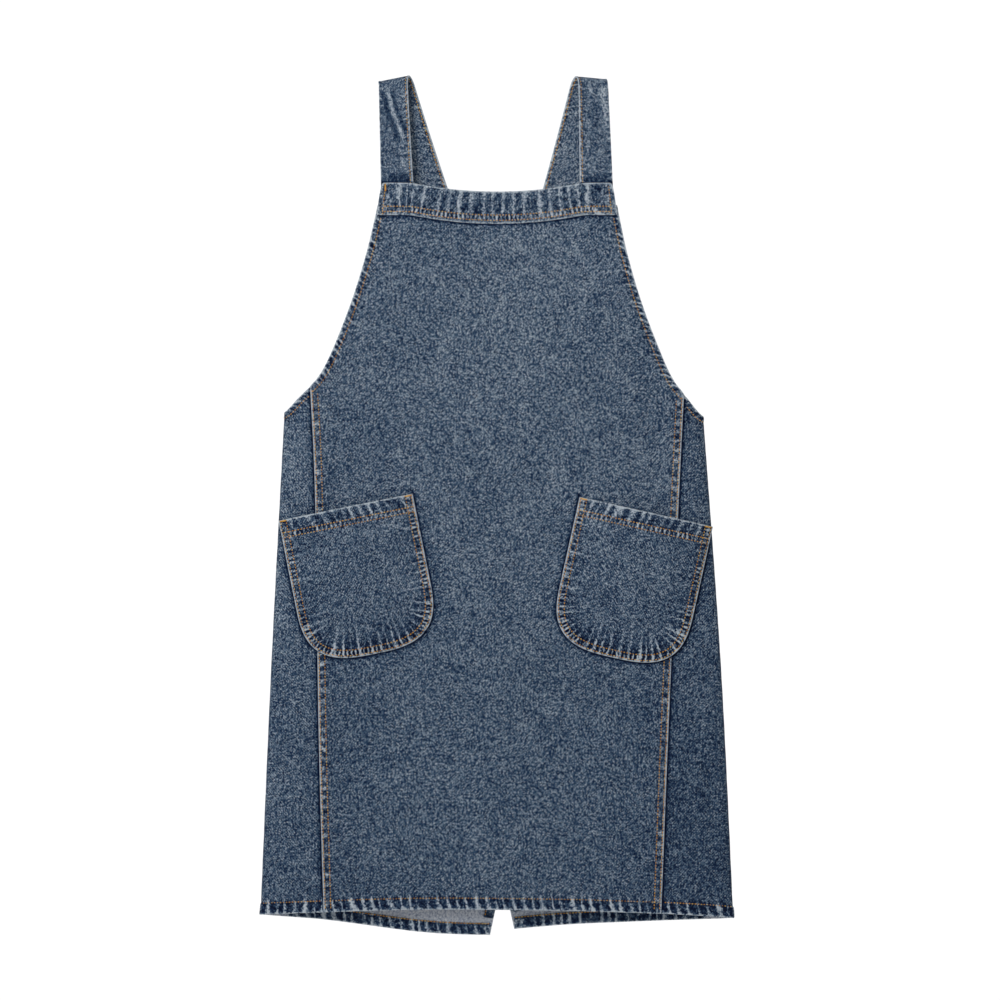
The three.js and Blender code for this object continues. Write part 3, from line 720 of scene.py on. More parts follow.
def denim(name, stops, level, worn):
    """Washed twill. level is how pale it is, and worn how strongly its worn edges and its painted shadow
    lines beside overlying edges show.
    """
    s = Shader(name)
    weave = s.attribute("weave", "Vector")
    split = s.parts(weave)
    rim, look, lane, shadow_and_unfaded = (s.parts(s.attribute(label, "Vector")) for label in MARKINGS)

    # The weave: pale specks of filling yarn on dark warp, in steep diagonal lines.
    rise = s.times(split[0], -1.0)
    diagonal = s.math("ADD", split[1], rise)
    counter = s.minus(split[1], rise)
    cells = s.node("TexVoronoi", {"Vector": s.stretched(weave, (1.0, 0.85, 1.0)), "Scale": 0.85})
    speck = s.minus(s.parts(cells.outputs["Color"])[0], 0.5)
    grain = s.noise(weave, 1.1, 1.5, 0.6)
    slub = s.noise(s.stretched(weave, (0.6, 0.06, 1.0)), 1.0, 1.0)
    mottle = s.noise(weave, 0.05, 3.0, 0.6)
    cloud = s.noise(weave, 0.012, 2.0, 0.5)
    wander = s.noise(weave, 0.25, 1.0)
    fine = s.math("SINE", s.total((diagonal, 4.1), (wander, 3.0)))
    twill = s.math("SINE", s.total((diagonal, 2.0), (s.noise(weave, 0.5, 1.0), 7.0)))
    picks = s.math("SINE", s.total((counter, 1.8), (s.noise(weave, 0.6, 1.0), 8.0)))
    twill = s.times(twill, s.math("MULTIPLY_ADD", picks, 0.9, 0.4))
    lines = s.node("CombineXYZ", {"X": s.times(diagonal, 0.5), "Y": s.times(counter, 0.12)})
    coarse = s.noise(lines.outputs[0], 1.0, 1.0)

    # The rims: light streaks across a dark hem, fading out beyond its stitches, and a pale folded edge.
    curl = s.times(s.math("POWER", s.minus(1.0, rim[1], clamp=True), 2.0), 0.22)
    wobble = s.noise(weave, 0.3, 1.0)
    phase = s.math("ADD", s.minus(rim[0], curl), s.times(wobble, 0.5))
    aside, luck = s.rungs(phase)
    width = s.total((s.minus(1.0, rim[1], clamp=True), 0.09), (luck, 0.08), (1.0, 0.09))
    streak = s.times(s.bell(aside, width), s.math("MULTIPLY_ADD", luck, 0.7, 0.65))
    within = s.times(s.minus(1.05, rim[1]), 14.0, clamp=True)
    past = s.math("MAXIMUM", s.minus(rim[1], 1.0), 0.0)
    fading = s.math("EXPONENT", s.times(s.times(past, look[2]), -1.0))
    fading = s.times(fading, s.minus(1.0, within))
    ropes = s.times(s.minus(streak, 0.42), within)
    ticks = s.times(s.minus(streak, 0.4), fading)
    blotch = s.noise(weave, 0.2, 1.5)
    strength = s.times(look[0], s.math("MULTIPLY_ADD", s.noise(weave, 0.16, 1.0), 2.0, 1.0))
    patches = s.times(s.math("ADD", within, s.times(fading, 0.6)), blotch)
    streaks = s.times(s.total((ropes, 1.0), (ticks, 1.2), (patches, 1.3)), strength)
    fold = s.times(s.bell(rim[2], 1.5), look[1])
    fold = s.times(fold, s.total((speck, 0.5), (luck, 0.25), (1.0, 0.9)))

    # The lanes between two rows of stitches, the rows themselves, and the painted shadow lines beside
    # overlying edges, where the denim is also darker and unfaded.
    apart, chance = s.rungs(s.math("ADD", lane[0], s.times(wobble, 0.6)))
    dash = s.times(s.bell(apart, 0.24), s.math("MULTIPLY_ADD", chance, 1.6, 0.7))
    dash = s.minus(dash, 0.62)
    spread = s.math("ABSOLUTE", lane[1])
    between = s.times(s.minus(1.0, spread), 3.0, clamp=True)
    dashes = s.times(s.times(dash, between), lane[2])
    row = s.bell(s.minus(spread, 1.0), 0.28)
    shadow = s.total((s.bell(shadow_and_unfaded[0], 2.0), 0.6), (s.bell(shadow_and_unfaded[0], 6.0), 0.13))
    shadow = s.times(shadow, shadow_and_unfaded[1])

    worn_terms = s.total((streaks, 1.35), (fold, 1.0), (dashes, 0.6), (row, -0.12), (shadow, -1.0))
    # The tint attribute adds painted shade (darker towards the hem and the right); the strap marks add worn
    # crease ridges and painted shade.
    wear_and_shade = s.times(s.attribute("wear_and_shade", "Fac"), s.total((speck, 0.6), (1.0, 1.0)))
    value = s.total((1.0, level), (speck, 0.75), (grain, 0.2), (fine, 0.03), (twill, 0.36), (coarse, 0.08),
                    (slub, 0.15), (mottle, 0.24), (cloud, 0.16), (s.attribute("tint", "Fac"), 1.0),
                    (wear_and_shade, 0.42), (worn_terms, worn))
    s.feed(s.surface.inputs["Base Color"], s.ramp(value, stops))
    s.feed(s.surface.inputs["Roughness"], s.math("MULTIPLY_ADD", grain, 0.25, 0.88))
    s.feed(s.surface.inputs["Specular IOR Level"], 0.12)
    s.feed(s.surface.inputs["Sheen Weight"], 0.04)
    height = s.total((fine, 0.35), (grain, 0.6), (speck, 0.5), (coarse, 0.4), (slub, 0.25))
    bumpy = s.node("Bump", {"Height": height, "Strength": 0.5, "Distance": 0.0002})
    s.feed(s.surface.inputs["Normal"], bumpy.outputs[0])
    return s.material


def thread(name):
    s = Shader(name)
    place = s.node("TexCoord").outputs["Object"]
    shade = s.attribute("shade", "Fac")
    fuzz = s.noise(place, 900.0, 1.0)
    value = s.total((1.0, 0.5), (shade, 0.3), (fuzz, 0.7))
    stops = [(0.0, (150, 94, 20)), (0.5, (250, 182, 54)), (1.0, (255, 228, 130))]
    s.feed(s.surface.inputs["Base Color"], s.ramp(value, stops))
    s.feed(s.surface.inputs["Roughness"], s.math("MULTIPLY_ADD", fuzz, 0.2, 0.6))
    strands = s.noise(s.stretched(place, (1.0, 1.0, 0.6)), 2600.0, 0.0)
    bumpy = s.node("Bump", {"Height": strands, "Strength": 0.6, "Distance": 0.0002})
    s.feed(s.surface.inputs["Normal"], bumpy.outputs[0])
    return s.material


RIGHT_STOPS = [(0.0, (7, 19, 47)), (0.3, (34, 58, 93)), (0.5, (70, 95, 122)), (0.7, (114, 137, 160)),
               (1.0, (203, 213, 222))]
WRONG_STOPS = [(0.0, (110, 122, 150)), (0.35, (168, 180, 202)), (0.55, (204, 212, 226)),
               (1.0, (240, 243, 247))]
DENIM = denim("washed_denim", RIGHT_STOPS, 0.43, 1.0)
DENIM_WRONG = denim("washed_denim_inside", WRONG_STOPS, 0.6, 0.3)
THREAD = thread("topstitch_thread")


def front_painted_shade(points):
    """Painted light and shade: a little paler down the middle of the bib and darker towards the hem and the
    right, where the light falls off.
    """
    x, z = points[:, 0], points[:, 2]
    down = smoothstep((-z - 150.0) / 820.0)
    centre = bump(x - 20.0, 150.0)
    return 0.05 - 0.075 * down + 0.03 * centre - 0.05 * down * smoothstep((x - 40.0) / 200.0)


# painted shade: the left wrapped panel a little paler and the right one darker, away from the key light
WRAP_PAINTED_SHADE = {"left": 0.02, "right": -0.02}


# The painted shade over the whole apron, shifted by each piece's own amount.
def painted_shade_tint(amount):
    return lambda points: front_painted_shade(points) + amount


# ---- the bib and the front of the skirt ----
def front_place(x, z):
    share = cap_share(x, z)
    depth = -WRAP_DEPTH * np.sqrt(np.maximum(0.0, 1.0 - share ** 2)) - STEP
    return np.stack([x, depth + front_drape(x, z), z], axis=-1)


def armhole_line(side):
    """Down the armhole's edge, from the band over the front panel and the side panel to the fold."""
    z = np.linspace(-140.0, -376.0, 90)
    line = pairs(side.armhole(z), z)
    return line[line[:, 0] < side.fold(-390.0) - 2.0] * [side.sign, 1.0]


def seam_line(side):
    z = np.linspace(side.seam_top, -968.0, 90)
    return pairs(side.sign * side.front_edge(z), z)


def hem_line():
    x = np.linspace(-LEFT.front_edge(-960.0), RIGHT_SIDE.front_edge(-960.0), 80)
    return pairs(x, front_hem(x))


def pocket_frame(side):
    """A pocket's own directions and sizes, from the corners of its mouth."""
    mouth = corners(f"{side.name}_pocket_mouth_hem")[:, FRONT_VIEW]
    outer = mouth[np.argmax(side.sign * mouth[:, 0])]
    inner = mouth[np.argmax(mouth[:, 1])]
    middle = (outer + inner) / 2.0
    across = (inner - outer) / np.linalg.norm(inner - outer)
    down = np.array([across[1], -across[0]]) * -side.sign
    whole = corners(f"{side.name}_pocket")[:, FRONT_VIEW] - middle
    return middle, across, down, np.linalg.norm(inner - outer) / 2.0, (whole @ down).max()


def pocket_outline(half, depth):
    """From the mouth's outer end down, round the bottom and up to its inner end, as (across, down)."""
    turn = np.linspace(0.0, np.pi, 61)
    power = 2.0 / POCKET_ROUNDNESS
    across = -half * np.sign(np.cos(turn)) * np.abs(np.cos(turn)) ** power
    down = mix(POCKET_STRAIGHT, depth, np.sin(turn) ** power)
    side = np.linspace(0.0, POCKET_STRAIGHT, 24)[:-1]
    return np.concatenate([pairs(-half, side), pairs(across, down), pairs(half, side[::-1])])


def pocket_in_front_view(side):
    middle, across, down, half, depth = pocket_frame(side)
    line = pocket_outline(half, depth)
    return middle + line[:, :1] * across + line[:, 1:] * down


def band_line(height, inset_ends=0.0):
    x = np.linspace(-LEFT.band_end(-130.0) + inset_ends, RIGHT_SIDE.band_end(-130.0) - inset_ends, 70)
    return pairs(x, height(x))


HEM_PITCH, HEM_SLANT = 11.0, 0.12
ARMHOLE_PITCH = 7.0


def hem_rim(line, way, seed):
    """The bottom hem's rim. way is 1 or -1 and says which way its streaks slant."""
    return Rim(line, BODY_ROW, [BODY_ROW], HEM_PITCH, slant=way * HEM_SLANT, height=0.5, streak=0.6,
               edge=0.75, reach=2.4, jitter=0.28, seed=seed)


def armhole_rim(line, slant, seed):
    return Rim(line, ARMHOLE_ROW, [ARMHOLE_ROW], ARMHOLE_PITCH, slant=slant, height=0.35, streak=0.5,
               edge=0.7, seed=seed)


def front_features():
    features = [hem_rim(hem_line(), 1.0, 11)]
    for k, side in enumerate(SIDES):
        features.append(armhole_rim(armhole_line(side), side.sign * 0.6, 21 + k))
        features.append(Rim(seam_line(side), SEAM_ROWS[1] + 1.0, SEAM_ROWS, 11.0, height=0.2, streak=0.12,
                            edge=0.9, reach=2.0, lane=(*SEAM_ROWS, 11.0, 0.9), seed=31 + k))
        # painted shadow, with darker unfaded denim, round each pocket's edge
        features.append(ShadowAndUnfadedLine(pocket_in_front_view(side), 1.0))
    # painted shadow under the band's lower edge
    features.append(ShadowAndUnfadedLine(band_line(band_bottom), 0.9))
    return features


FRONT = Cut(front_place, front_features(), flip=1.0, tint=front_painted_shade, seed=1)


def settled(a_edges, b_edges, us, vs):
    """A grid whose columns run between two edges a(b) and whose rows run between two edges b(a)."""
    a = np.zeros((len(vs), len(us)))
    b = np.zeros_like(a) + mix(-200.0, -960.0, vs)[:, None]
    for _ in range(6):
        a = mix(a_edges[0](b), a_edges[1](b), us[None, :])
        b = mix(b_edges[0](a), b_edges[1](a), vs[:, None])
    return np.stack([a, b], axis=-1)


def make_front():
    us = marks(430.0, GRID)
    vs = marks(815.0, GRID)
    edges = (lambda z: -LEFT.front_edge(z), RIGHT_SIDE.front_edge)
    flat = settled(edges, (panel_top, front_hem), us, vs)
    panel = make_cloth("front_panel_cloth", FRONT, flat)
    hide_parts("front_panel")
    return panel


def strip_flat(line, turn, way=1.0):
    """A grid over the strip between two distances from a line, on its left, or on its right if way is -1."""
    near, far = way * turn[0], way * turn[1]
    along = part_of(line)
    shares = marks(line_length(line), 3.0)
    walk = np.linspace(0.0, 1.0, len(along))
    along = pairs(*(np.interp(shares, walk, along[:, k]) for k in range(2)))
    depths = mix(near, far, marks(abs(far - near), FINE_GRID))
    return np.stack([inset(along, depth) for depth in depths], axis=0)


# ---- the bib's band and facing ----
def band_place(x, z):
    return np.stack([x, -BAND_FACE + front_drape(x, z), z], axis=-1)


def facing_place(x, z):
    return np.stack([x, FACING_FACE + front_drape(x, z), z], axis=-1)


FACING_FACE = corners("bib_facing")[:, 1].min()
BAND_HEIGHT = float(band_top(0.0) - band_bottom(0.0))


def band_end_line(side, inward=0.0, top=-125.0, bottom=-161.0, count=20):
    z = np.linspace(top, bottom, count)
    return pairs(side.sign * (side.band_end(z) - inward), z)


def band_features():
    features = [
        Rim(band_line(band_top), BAND_ROWS[0] - 1.5, BAND_ROWS, 12.5, slant=-0.06, height=0.4, streak=0.42,
            edge=0.75, lane=(*BAND_ROWS, 4.6, 1.35), seed=41),
        Rim(band_line(band_bottom), 2.6, [], 8.0, height=0.1, streak=0.1, edge=0.4, reach=1.0, seed=43),
    ]
    for k, side in enumerate(SIDES):
        features.append(Rim(band_end_line(side), 3.5, [BAND_END_ROW], 6.0, height=0.2, streak=0.2, edge=0.7,
                            reach=1.0, seed=45 + k))
    return features


def make_facing(us, vs):
    cut = Cut(facing_place, [], tint=painted_shade_tint(0.0), seed=3)
    edges = (lambda z: -LEFT.band_end(z) + 0.5, lambda z: RIGHT_SIDE.band_end(z) - 0.5)
    heights = (lambda x: band_top(x) - 0.5, lambda x: band_bottom(x) + 0.5)
    facing = make_cloth("bib_facing_cloth", cut, settled(edges, heights, us, vs), right_faces="inner")
    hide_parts("bib_facing")
    return facing


def make_band():
    cut = Cut(band_place, band_features(), tint=painted_shade_tint(0.06), seed=2)
    us, vs = marks(270.0, FINE_GRID), marks(BAND_HEIGHT, 1.4)
    edges = (lambda z: -LEFT.band_end(z), RIGHT_SIDE.band_end)
    band = make_cloth("bib_band_cloth", cut, settled(edges, (band_top, band_bottom), us, vs))
    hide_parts("bib_band")
    pieces = [make_facing(us, vs)]
    for label, row in zip(("upper", "lower"), BAND_ROWS):
        line = band_line(lambda x: band_top(x) - row, 1.5)
        stitches = stitch_rows(f"bib_band_topstitch_{label}_thread", cut, [line], 50 + int(row))
        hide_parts(f"bib_band_topstitch_{label}")
        pieces.append(stitches)
    ends = [band_end_line(side, BAND_END_ROW, -126.0, -160.0, 18) for side in SIDES]
    pieces.append(stitch_rows("bib_band_end_thread", cut, ends, 57))
    tack = pairs(-LEFT.band_end(-128.0) + BAND_END_ROW, [-125.6, -134.0])
    pieces.append(make_bar("bib_band_tack_thread", cut, tack))
    return band, pieces


def make_bar(name, cut, line):
    """A bar tack: close, short stitches across a line."""
    run = line[1] - line[0]
    length = np.linalg.norm(run)
    run /= length
    across = 0.5 * TACK_WIDTH * np.array([-run[1], run[0]])
    count = int(length / TACK_PITCH)
    runs = []
    for k in range(count):
        centre = line[0] + run * (k + 0.5) * length / count
        runs.append(seam_run(cut, np.stack([centre - across, centre + across]), out=0.12))
    return make_stitches(name, runs, 77, pitch=TACK_WIDTH, gap=0.0, radius=0.4)


# ---- the wrapped side and back panels ----
ARC_ANGLES = np.linspace(0.0, np.pi / 2.0, 91)
ARC_STEPS = np.hypot(np.diff(CAP * (1.0 - np.cos(ARC_ANGLES))), np.diff(WRAP_DEPTH * np.sin(ARC_ANGLES)))
ARC_WALK = np.concatenate([[0.0], np.cumsum(ARC_STEPS)])
ARC_LENGTH = ARC_WALK[-1]
TURN = 20.0  # the top and bottom edges pass from the front's line to the back's over this much of the fold


class Wrap:
    """One side's panel from the front seam round the side fold to the centre back.

    Its flat pattern is (walk, height). The walk is counted from the fold, forwards below 0."""

    def __init__(self, side):
        self.side = side

    def distance(self, walk, z):
        angle = np.interp(np.abs(walk), ARC_WALK, ARC_ANGLES)
        flat = np.maximum(0.0, np.abs(walk) - ARC_LENGTH)
        return self.side.fold(z) - CAP * (1.0 - np.cos(angle)) - flat

    def place(self, walk, z):
        angle = np.sign(walk) * np.interp(np.abs(walk), ARC_WALK, ARC_ANGLES)
        x = self.side.sign * self.distance(walk, z)
        drape = np.where(walk < 0.0, front_drape(x, z), back_drape(x, z))
        return np.stack([x, WRAP_DEPTH * np.sin(angle) + drape, z], axis=-1)

    def walk_to(self, distance, z, face):
        return face * (ARC_LENGTH + self.side.fold(z) - CAP - distance)

    def front_end(self, z):
        return self.walk_to(self.side.seam(z) - SEAM_LAP, z, -1.0)

    def back_end(self, z):
        return self.walk_to(self.side.slit(z), z, 1.0)

    def between(self, walk, front, back):
        return mix(front, back, smoothstep((walk + TURN) / (2.0 * TURN)))

    def top(self, walk):
        distance = self.distance(walk, -395.0)
        front = self.side.armhole_height(distance)
        hidden = smoothstep((self.side.seam(self.side.seam_top) - distance) / 4.0)
        return self.between(walk, front - 1.5 * hidden, self.side.back_top(distance))

    def bottom(self, walk):
        distance = self.distance(walk, -965.0)
        front = front_hem(self.side.sign * distance)
        return self.between(walk, front, self.side.back_hem(distance))

    def edge_line(self, height, start, end):
        walk = np.linspace(start, end, 150)
        return pairs(walk, height(walk))

    def seam_edge(self):
        z = np.linspace(self.side.seam_top, -966.0, 80)
        return pairs(self.walk_to(self.side.seam(z), z, -1.0), z)

    def slit_edge(self):
        top, bottom = self.side.back_top(self.side.slit(-440.0)), self.bottom(self.back_end(-985.0))
        z = np.linspace(top, bottom, 120)
        return pairs(self.back_end(z), z)

    def from_front(self, line):
        """Places given in the front view, as places on the front part of the pattern."""
        return pairs(self.walk_to(self.side.sign * line[:, 0], line[:, 1], -1.0), line[:, 1])


def bend(obj, side, depth=0.0):
    """Bakes the piece's transform into its mesh.

    depth is not used."""
    along = side.hinge_axis / np.linalg.norm(side.hinge_axis)
    downward = np.cross(along, [0.0, 1.0, 0.0])
    if (downward @ [-side.sign, 0.0, -1.0]) < 0.0:
        downward = -downward
    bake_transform(obj)


def make_wrap(side, seed):
    wrap = Wrap(side)
    top = wrap.edge_line(wrap.top, wrap.front_end(-370.0), wrap.back_end(-425.0))
    bottom = wrap.edge_line(wrap.bottom, wrap.front_end(-965.0), wrap.back_end(-985.0))
    seam, slit = wrap.seam_edge(), wrap.slit_edge()
    pocket = pocket_in_front_view(side)
    pocket = wrap.from_front(pocket[side.sign * pocket[:, 0] > side.front_edge(pocket[:, 1]) - 6.0])
    features = [
        armhole_rim(top, 0.5, seed),
        hem_rim(bottom[bottom[:, 0] <= 0.0], side.sign, seed + 1),
        hem_rim(bottom[bottom[:, 0] >= 0.0], -side.sign, seed + 1),
        Rim(slit, 11.0, [CENTRE_BACK_ROW], 8.0, slant=0.3, height=0.25, streak=0.25, edge=0.35,
            seed=seed + 2),
        # painted shadow, with darker unfaded denim, beside the front panel's seam edge
        ShadowAndUnfadedLine(seam, 1.1),
    ]
    if len(pocket) > 1:
        # painted shadow, with darker unfaded denim, round the pocket's edge
        features.append(ShadowAndUnfadedLine(pocket, 1.0))
    cut = Cut(wrap.place, features, flip=side.sign, tint=painted_shade_tint(WRAP_PAINTED_SHADE[side.name]), seed=seed)
    us, vs = marks(390.0, GRID), marks(585.0, GRID)
    flat = settled((wrap.front_end, wrap.back_end), (wrap.top, wrap.bottom), us, vs)
    name = side.name
    cloth = make_cloth(f"{name}_wrap_panel_cloth", cut, flat)
    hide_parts(*[f"{name}_{part}" for part in ("side_panel", "side_fold", "back_panel", "back_flap")])
    return wrap, cut, cloth, {"top": top, "bottom": bottom, "slit": slit}


# ---- straps ----
class Strap:
    """A doubled strap from the band over the shoulder and down to the opposite back panel.

    Its flat pattern is (across, walk): across from the neck side, walk from the band."""

    def __init__(self, side):
        self.side = side
        self.width = float(side.strap_back[1](-200.0) - side.strap_back[0](-200.0))
        self.front_run = -side.strap_low_front - SHOULDER_RISE
        self.back_run = -side.strap_low_back - SHOULDER_RISE
        self.arc = 0.5 * np.pi * (SHOULDER_RISE + side.strap_front_face(-20.0)) * 1.01
        self.length = self.front_run + self.arc + self.back_run

    def place(self, across, walk):
        side = self.side
        share = across / self.width
        ends = [read(-10.0) for read in side.strap_front]
        crest = side.shoulder(mix(ends[0], ends[1], share)) - SHOULDER_RISE
        up = np.clip(walk / self.front_run, 0.0, None)
        front_z = mix(side.strap_low_front, crest, np.minimum(up, 1.0))
        front_z = np.where(up > 1.0, crest, front_z)
        turn = np.clip((walk - self.front_run) / self.arc, 0.0, 1.0)
        down = np.clip((walk - self.front_run - self.arc) / self.back_run, 0.0, None)
        back_z = mix(crest, side.strap_low_back, down)
        z = np.where(turn < 0.5, front_z, back_z) + SHOULDER_RISE * np.sin(np.pi * turn)
        front_x = mix(side.strap_front[0](z), side.strap_front[1](z), share)
        back_x = mix(side.strap_back[0](z), side.strap_back[1](z), share)
        below = smoothstep((-z - STRAP_FADE) / STRAP_FADE)
        back_x = back_x + TUCK * share * smoothstep((z - TUCK_LOW) / TUCK_FADE) * below
        distance = mix(front_x, back_x, smoothstep(turn))
        face_z = np.minimum(z, STRAP_FACE_TOP)
        front_y = -side.strap_front_face(face_z) + front_drape(side.sign * front_x, z) * below
        back_y = side.strap_back_face(face_z)
        y = mix(front_y, back_y, 0.5 - 0.5 * np.cos(np.pi * turn))
        return np.stack([side.sign * distance, y, z], axis=-1)


STRAP_CREASES = {
    # line from the neck side outwards and from the band up, width, wear and shade (lighter along worn crease
    # ridges, darker in the valleys beside them, and painted shade just above the band), relief
    "left": [
        ([[29.5, 140.0], [23.0, 112.0], [7.0, 66.0]], 2.0, 1.3, 0.6),
        ([[35.0, 136.0], [28.5, 106.0], [13.0, 66.0]], 3.4, -0.75, -0.4),
        ([[24.0, 138.0], [17.0, 108.0], [3.0, 74.0]], 3.6, -0.65, -0.3),
        ([[14.0, 52.0], [6.0, 34.0]], 1.4, 0.9, 0.2),
        # painted shade across the strap just above the band's top edge
        ([[2.0, 28.0], [34.0, 29.0]], 5.0, -0.7, 0.0),
    ],
    "right": [
        ([[30.0, 140.0], [34.0, 118.0], [36.0, 86.0]], 4.5, 0.8, 0.3),
        ([[12.0, 138.0], [18.0, 127.0]], 1.6, 0.9, 0.2),
        ([[22.0, 120.0], [20.0, 70.0]], 5.0, -0.3, -0.2),
        # painted shade across the strap just above the band's top edge
        ([[2.0, 28.0], [38.0, 29.0]], 4.5, -0.5, 0.0),
    ],
}


def make_strap(side, seed):
    strap = Strap(side)
    walk = np.linspace(0.0, strap.length, 200)
    inner, outer = pairs(0.0, walk), pairs(strap.width, walk)
    features = [
        Rim(inner, STRAP_ROW, [STRAP_ROW], 7.5, slant=0.4, height=0.2, streak=0.34, edge=1.0, reach=4.5,
            seed=seed),
        Rim(outer, 2.2, [], 9.0, slant=0.3, height=0.2, streak=0.2, edge=0.25, reach=4.0, seed=seed + 1),
        # painted shadow on the strap along the band's top edge
        ShadowAndUnfadedLine(np.array([[0.0, 21.0], [strap.width, 22.5]]), 0.9),
        *(Mark(*crease) for crease in STRAP_CREASES[side.name]),
    ]
    cut = Cut(strap.place, features, flip=side.sign, tint=painted_shade_tint(0.03), twill=-1.0, seed=seed)
    us, vs = marks(strap.width, 1.9), marks(strap.length, 2.2)
    flat = np.stack(np.meshgrid(us * strap.width, vs * strap.length), axis=-1)
    name = side.name
    cloth = make_cloth(f"{name}_strap_cloth", cut, flat, thick=2.0, right_faces="both", round_edge=1.3)
    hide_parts(*[f"{name}_strap_{part}" for part in ("front", "shoulder", "back")])
    row = pairs(STRAP_ROW, np.linspace(18.0, strap.length - 4.0, 180))
    runs = [seam_run(cut, row), seam_run(cut, row, out=-2.0, face=-1.0)]
    stitches = make_stitches(f"{name}_strap_edge_thread", runs, seed + 3)
    return cloth, stitches


# ---- pockets ----
def pocket_flat(us, half, depth):
    """A grid that fills the pocket's outline: straight above, and drawn in round the bottom."""
    p, down = np.meshgrid(us, marks(depth, FINE_GRID) * depth)
    below = np.clip((down - POCKET_STRAIGHT) / (depth - POCKET_STRAIGHT), 0.0, 1.0)
    most = np.maximum(np.maximum(np.abs(p), below), 1e-6)
    bulk = np.abs(p / most) ** POCKET_ROUNDNESS + (below / most) ** POCKET_ROUNDNESS
    pull = mix(1.0, bulk ** (-1.0 / POCKET_ROUNDNESS), most ** 2)
    pull = np.where(down > POCKET_STRAIGHT, pull, 1.0)
    low = POCKET_STRAIGHT + (depth - POCKET_STRAIGHT) * below * pull
    return np.stack([half * p * pull, np.where(down > POCKET_STRAIGHT, low, down)], axis=-1)


def make_pocket(side, seed):
    name = side.name
    middle, across_way, down_way, half, depth = pocket_frame(side)
    edge = pocket_outline(half, depth)
    mouth = pairs(np.linspace(-half, half, 60), 0.0)

    def width_at(down):
        below = np.clip((down - POCKET_STRAIGHT) / (depth - POCKET_STRAIGHT), 0.0, 1.0)
        return half * (1.0 - below ** POCKET_ROUNDNESS) ** (1.0 / POCKET_ROUNDNESS)

    def place(across, down):
        flat = middle + across[..., None] * across_way + down[..., None] * down_way
        x, z = flat[..., 0], flat[..., 1]
        width = np.maximum(1.0, width_at(down))
        share = np.clip(np.abs(across) / width, 0.0, 1.0)
        fall = np.clip(down / depth, 0.0, 1.0)
        bulge = POCKET_BULGE * np.cos(share * np.pi / 2.0) * np.cos(fall * np.pi / 2.0) ** 0.7
        cap = cap_share(x, z)
        near = np.minimum(half - np.abs(across), depth - down)
        settle = POCKET_SETTLE * (1.0 - smoothstep(near / 7.0))
        slack = 0.5 * hills(x, z, 42.0, seed) + 0.3 * hills(x, z, 19.0, seed + 1)
        y = POCKET_DROP * cap ** 2 - PANEL_FACE - 2.0 * STEP - bulge + settle
        y = y + front_drape(x, z) + slack * smoothstep(near / 15.0)
        return np.stack([x, y, z], axis=-1)

    features = [
        Rim(edge, 9.4, POCKET_ROWS, 10.5, slant=0.0, height=0.3, streak=POCKET_WEAR, edge=1.0, reach=12.0,
            lane=(*POCKET_ROWS, 5.0, 1.3), seed=seed),
        Rim(mouth, 14.0, MOUTH_ROWS, 11.5, slant=-0.5, height=0.4, streak=0.4, edge=0.9, reach=2.5,
            lane=(*MOUTH_ROWS, 5.3, 1.1), seed=seed + 2),
    ]
    cut = Cut(place, features, flip=side.sign, tint=painted_shade_tint(0.0), twill=-1.0, seed=seed)
    us = 2.0 * marks(2.0 * half, FINE_GRID) - 1.0
    cloth = make_cloth(f"{name}_pocket_cloth", cut, pocket_flat(us, half, depth))
    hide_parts(f"{name}_pocket")
    hem_flat = np.stack(np.meshgrid(us * (half - 0.6), np.linspace(0.4, MOUTH_HEM, 10)), axis=-1)
    hem = turned_hem(f"{name}_pocket_mouth_hem_cloth", cut, hem_flat)
    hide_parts(f"{name}_pocket_mouth_hem")
    rows = [part_of(inset(edge, -row), 1.5, -1.5) for row in POCKET_ROWS]
    round_it = stitch_rows(f"{name}_pocket_topstitch_thread", cut, rows, seed + 4)
    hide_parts(f"{name}_pocket_topstitch")
    rows = [pairs(np.linspace(2.0 - half, half - 2.0, 80), row) for row in MOUTH_ROWS]
    over = stitch_rows(f"{name}_pocket_mouth_thread", cut, rows, seed + 5)
    pieces = [hem, round_it, over]
    for end, way in (("outer", -1.0), ("inner", 1.0)):
        line = np.array([[way * (half - 1.4), 1.5], [way * (half - 9.4), 1.5]])
        tack = make_bar(f"{name}_pocket_tack_{end}_thread", cut, line)
        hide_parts(f"{name}_pocket_bar_tack_{end}")
        pieces.append(tack)
    return cloth, pieces


def make_armhole(side, wrap, cut, top, seed):
    """The armhole's turned hem, and its stitch row, which runs on over the side panel."""
    name, way = side.name, -side.sign
    armhole = armhole_line(side)
    flat = strip_flat(part_of(armhole, *ARMHOLE_HEM_SPAN), ARMHOLE_TURN, way)
    hem = make_cloth(f"{name}_armhole_hem_cloth", FRONT, flat, out=-2.0 * STEP, right_faces="both",
                     shaped=False)
    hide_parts(f"{name}_armhole_hem")
    row = inset(part_of(armhole, 22.0), way * ARMHOLE_ROW)
    runs = [seam_run(FRONT, row[np.abs(row[:, 0]) < side.seam(row[:, 1])])]
    over = inset(part_of(top), -ARMHOLE_ROW)
    seam_walk = wrap.walk_to(side.seam(side.seam_top), side.seam_top, -1.0)
    runs.append(seam_run(cut, over[(over[:, 0] > seam_walk) & (over[:, 0] < 14.0)]))
    stitches = make_stitches(f"{name}_armhole_thread", runs, seed)
    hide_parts(f"{name}_armhole_topstitch")
    return [hem, stitches]


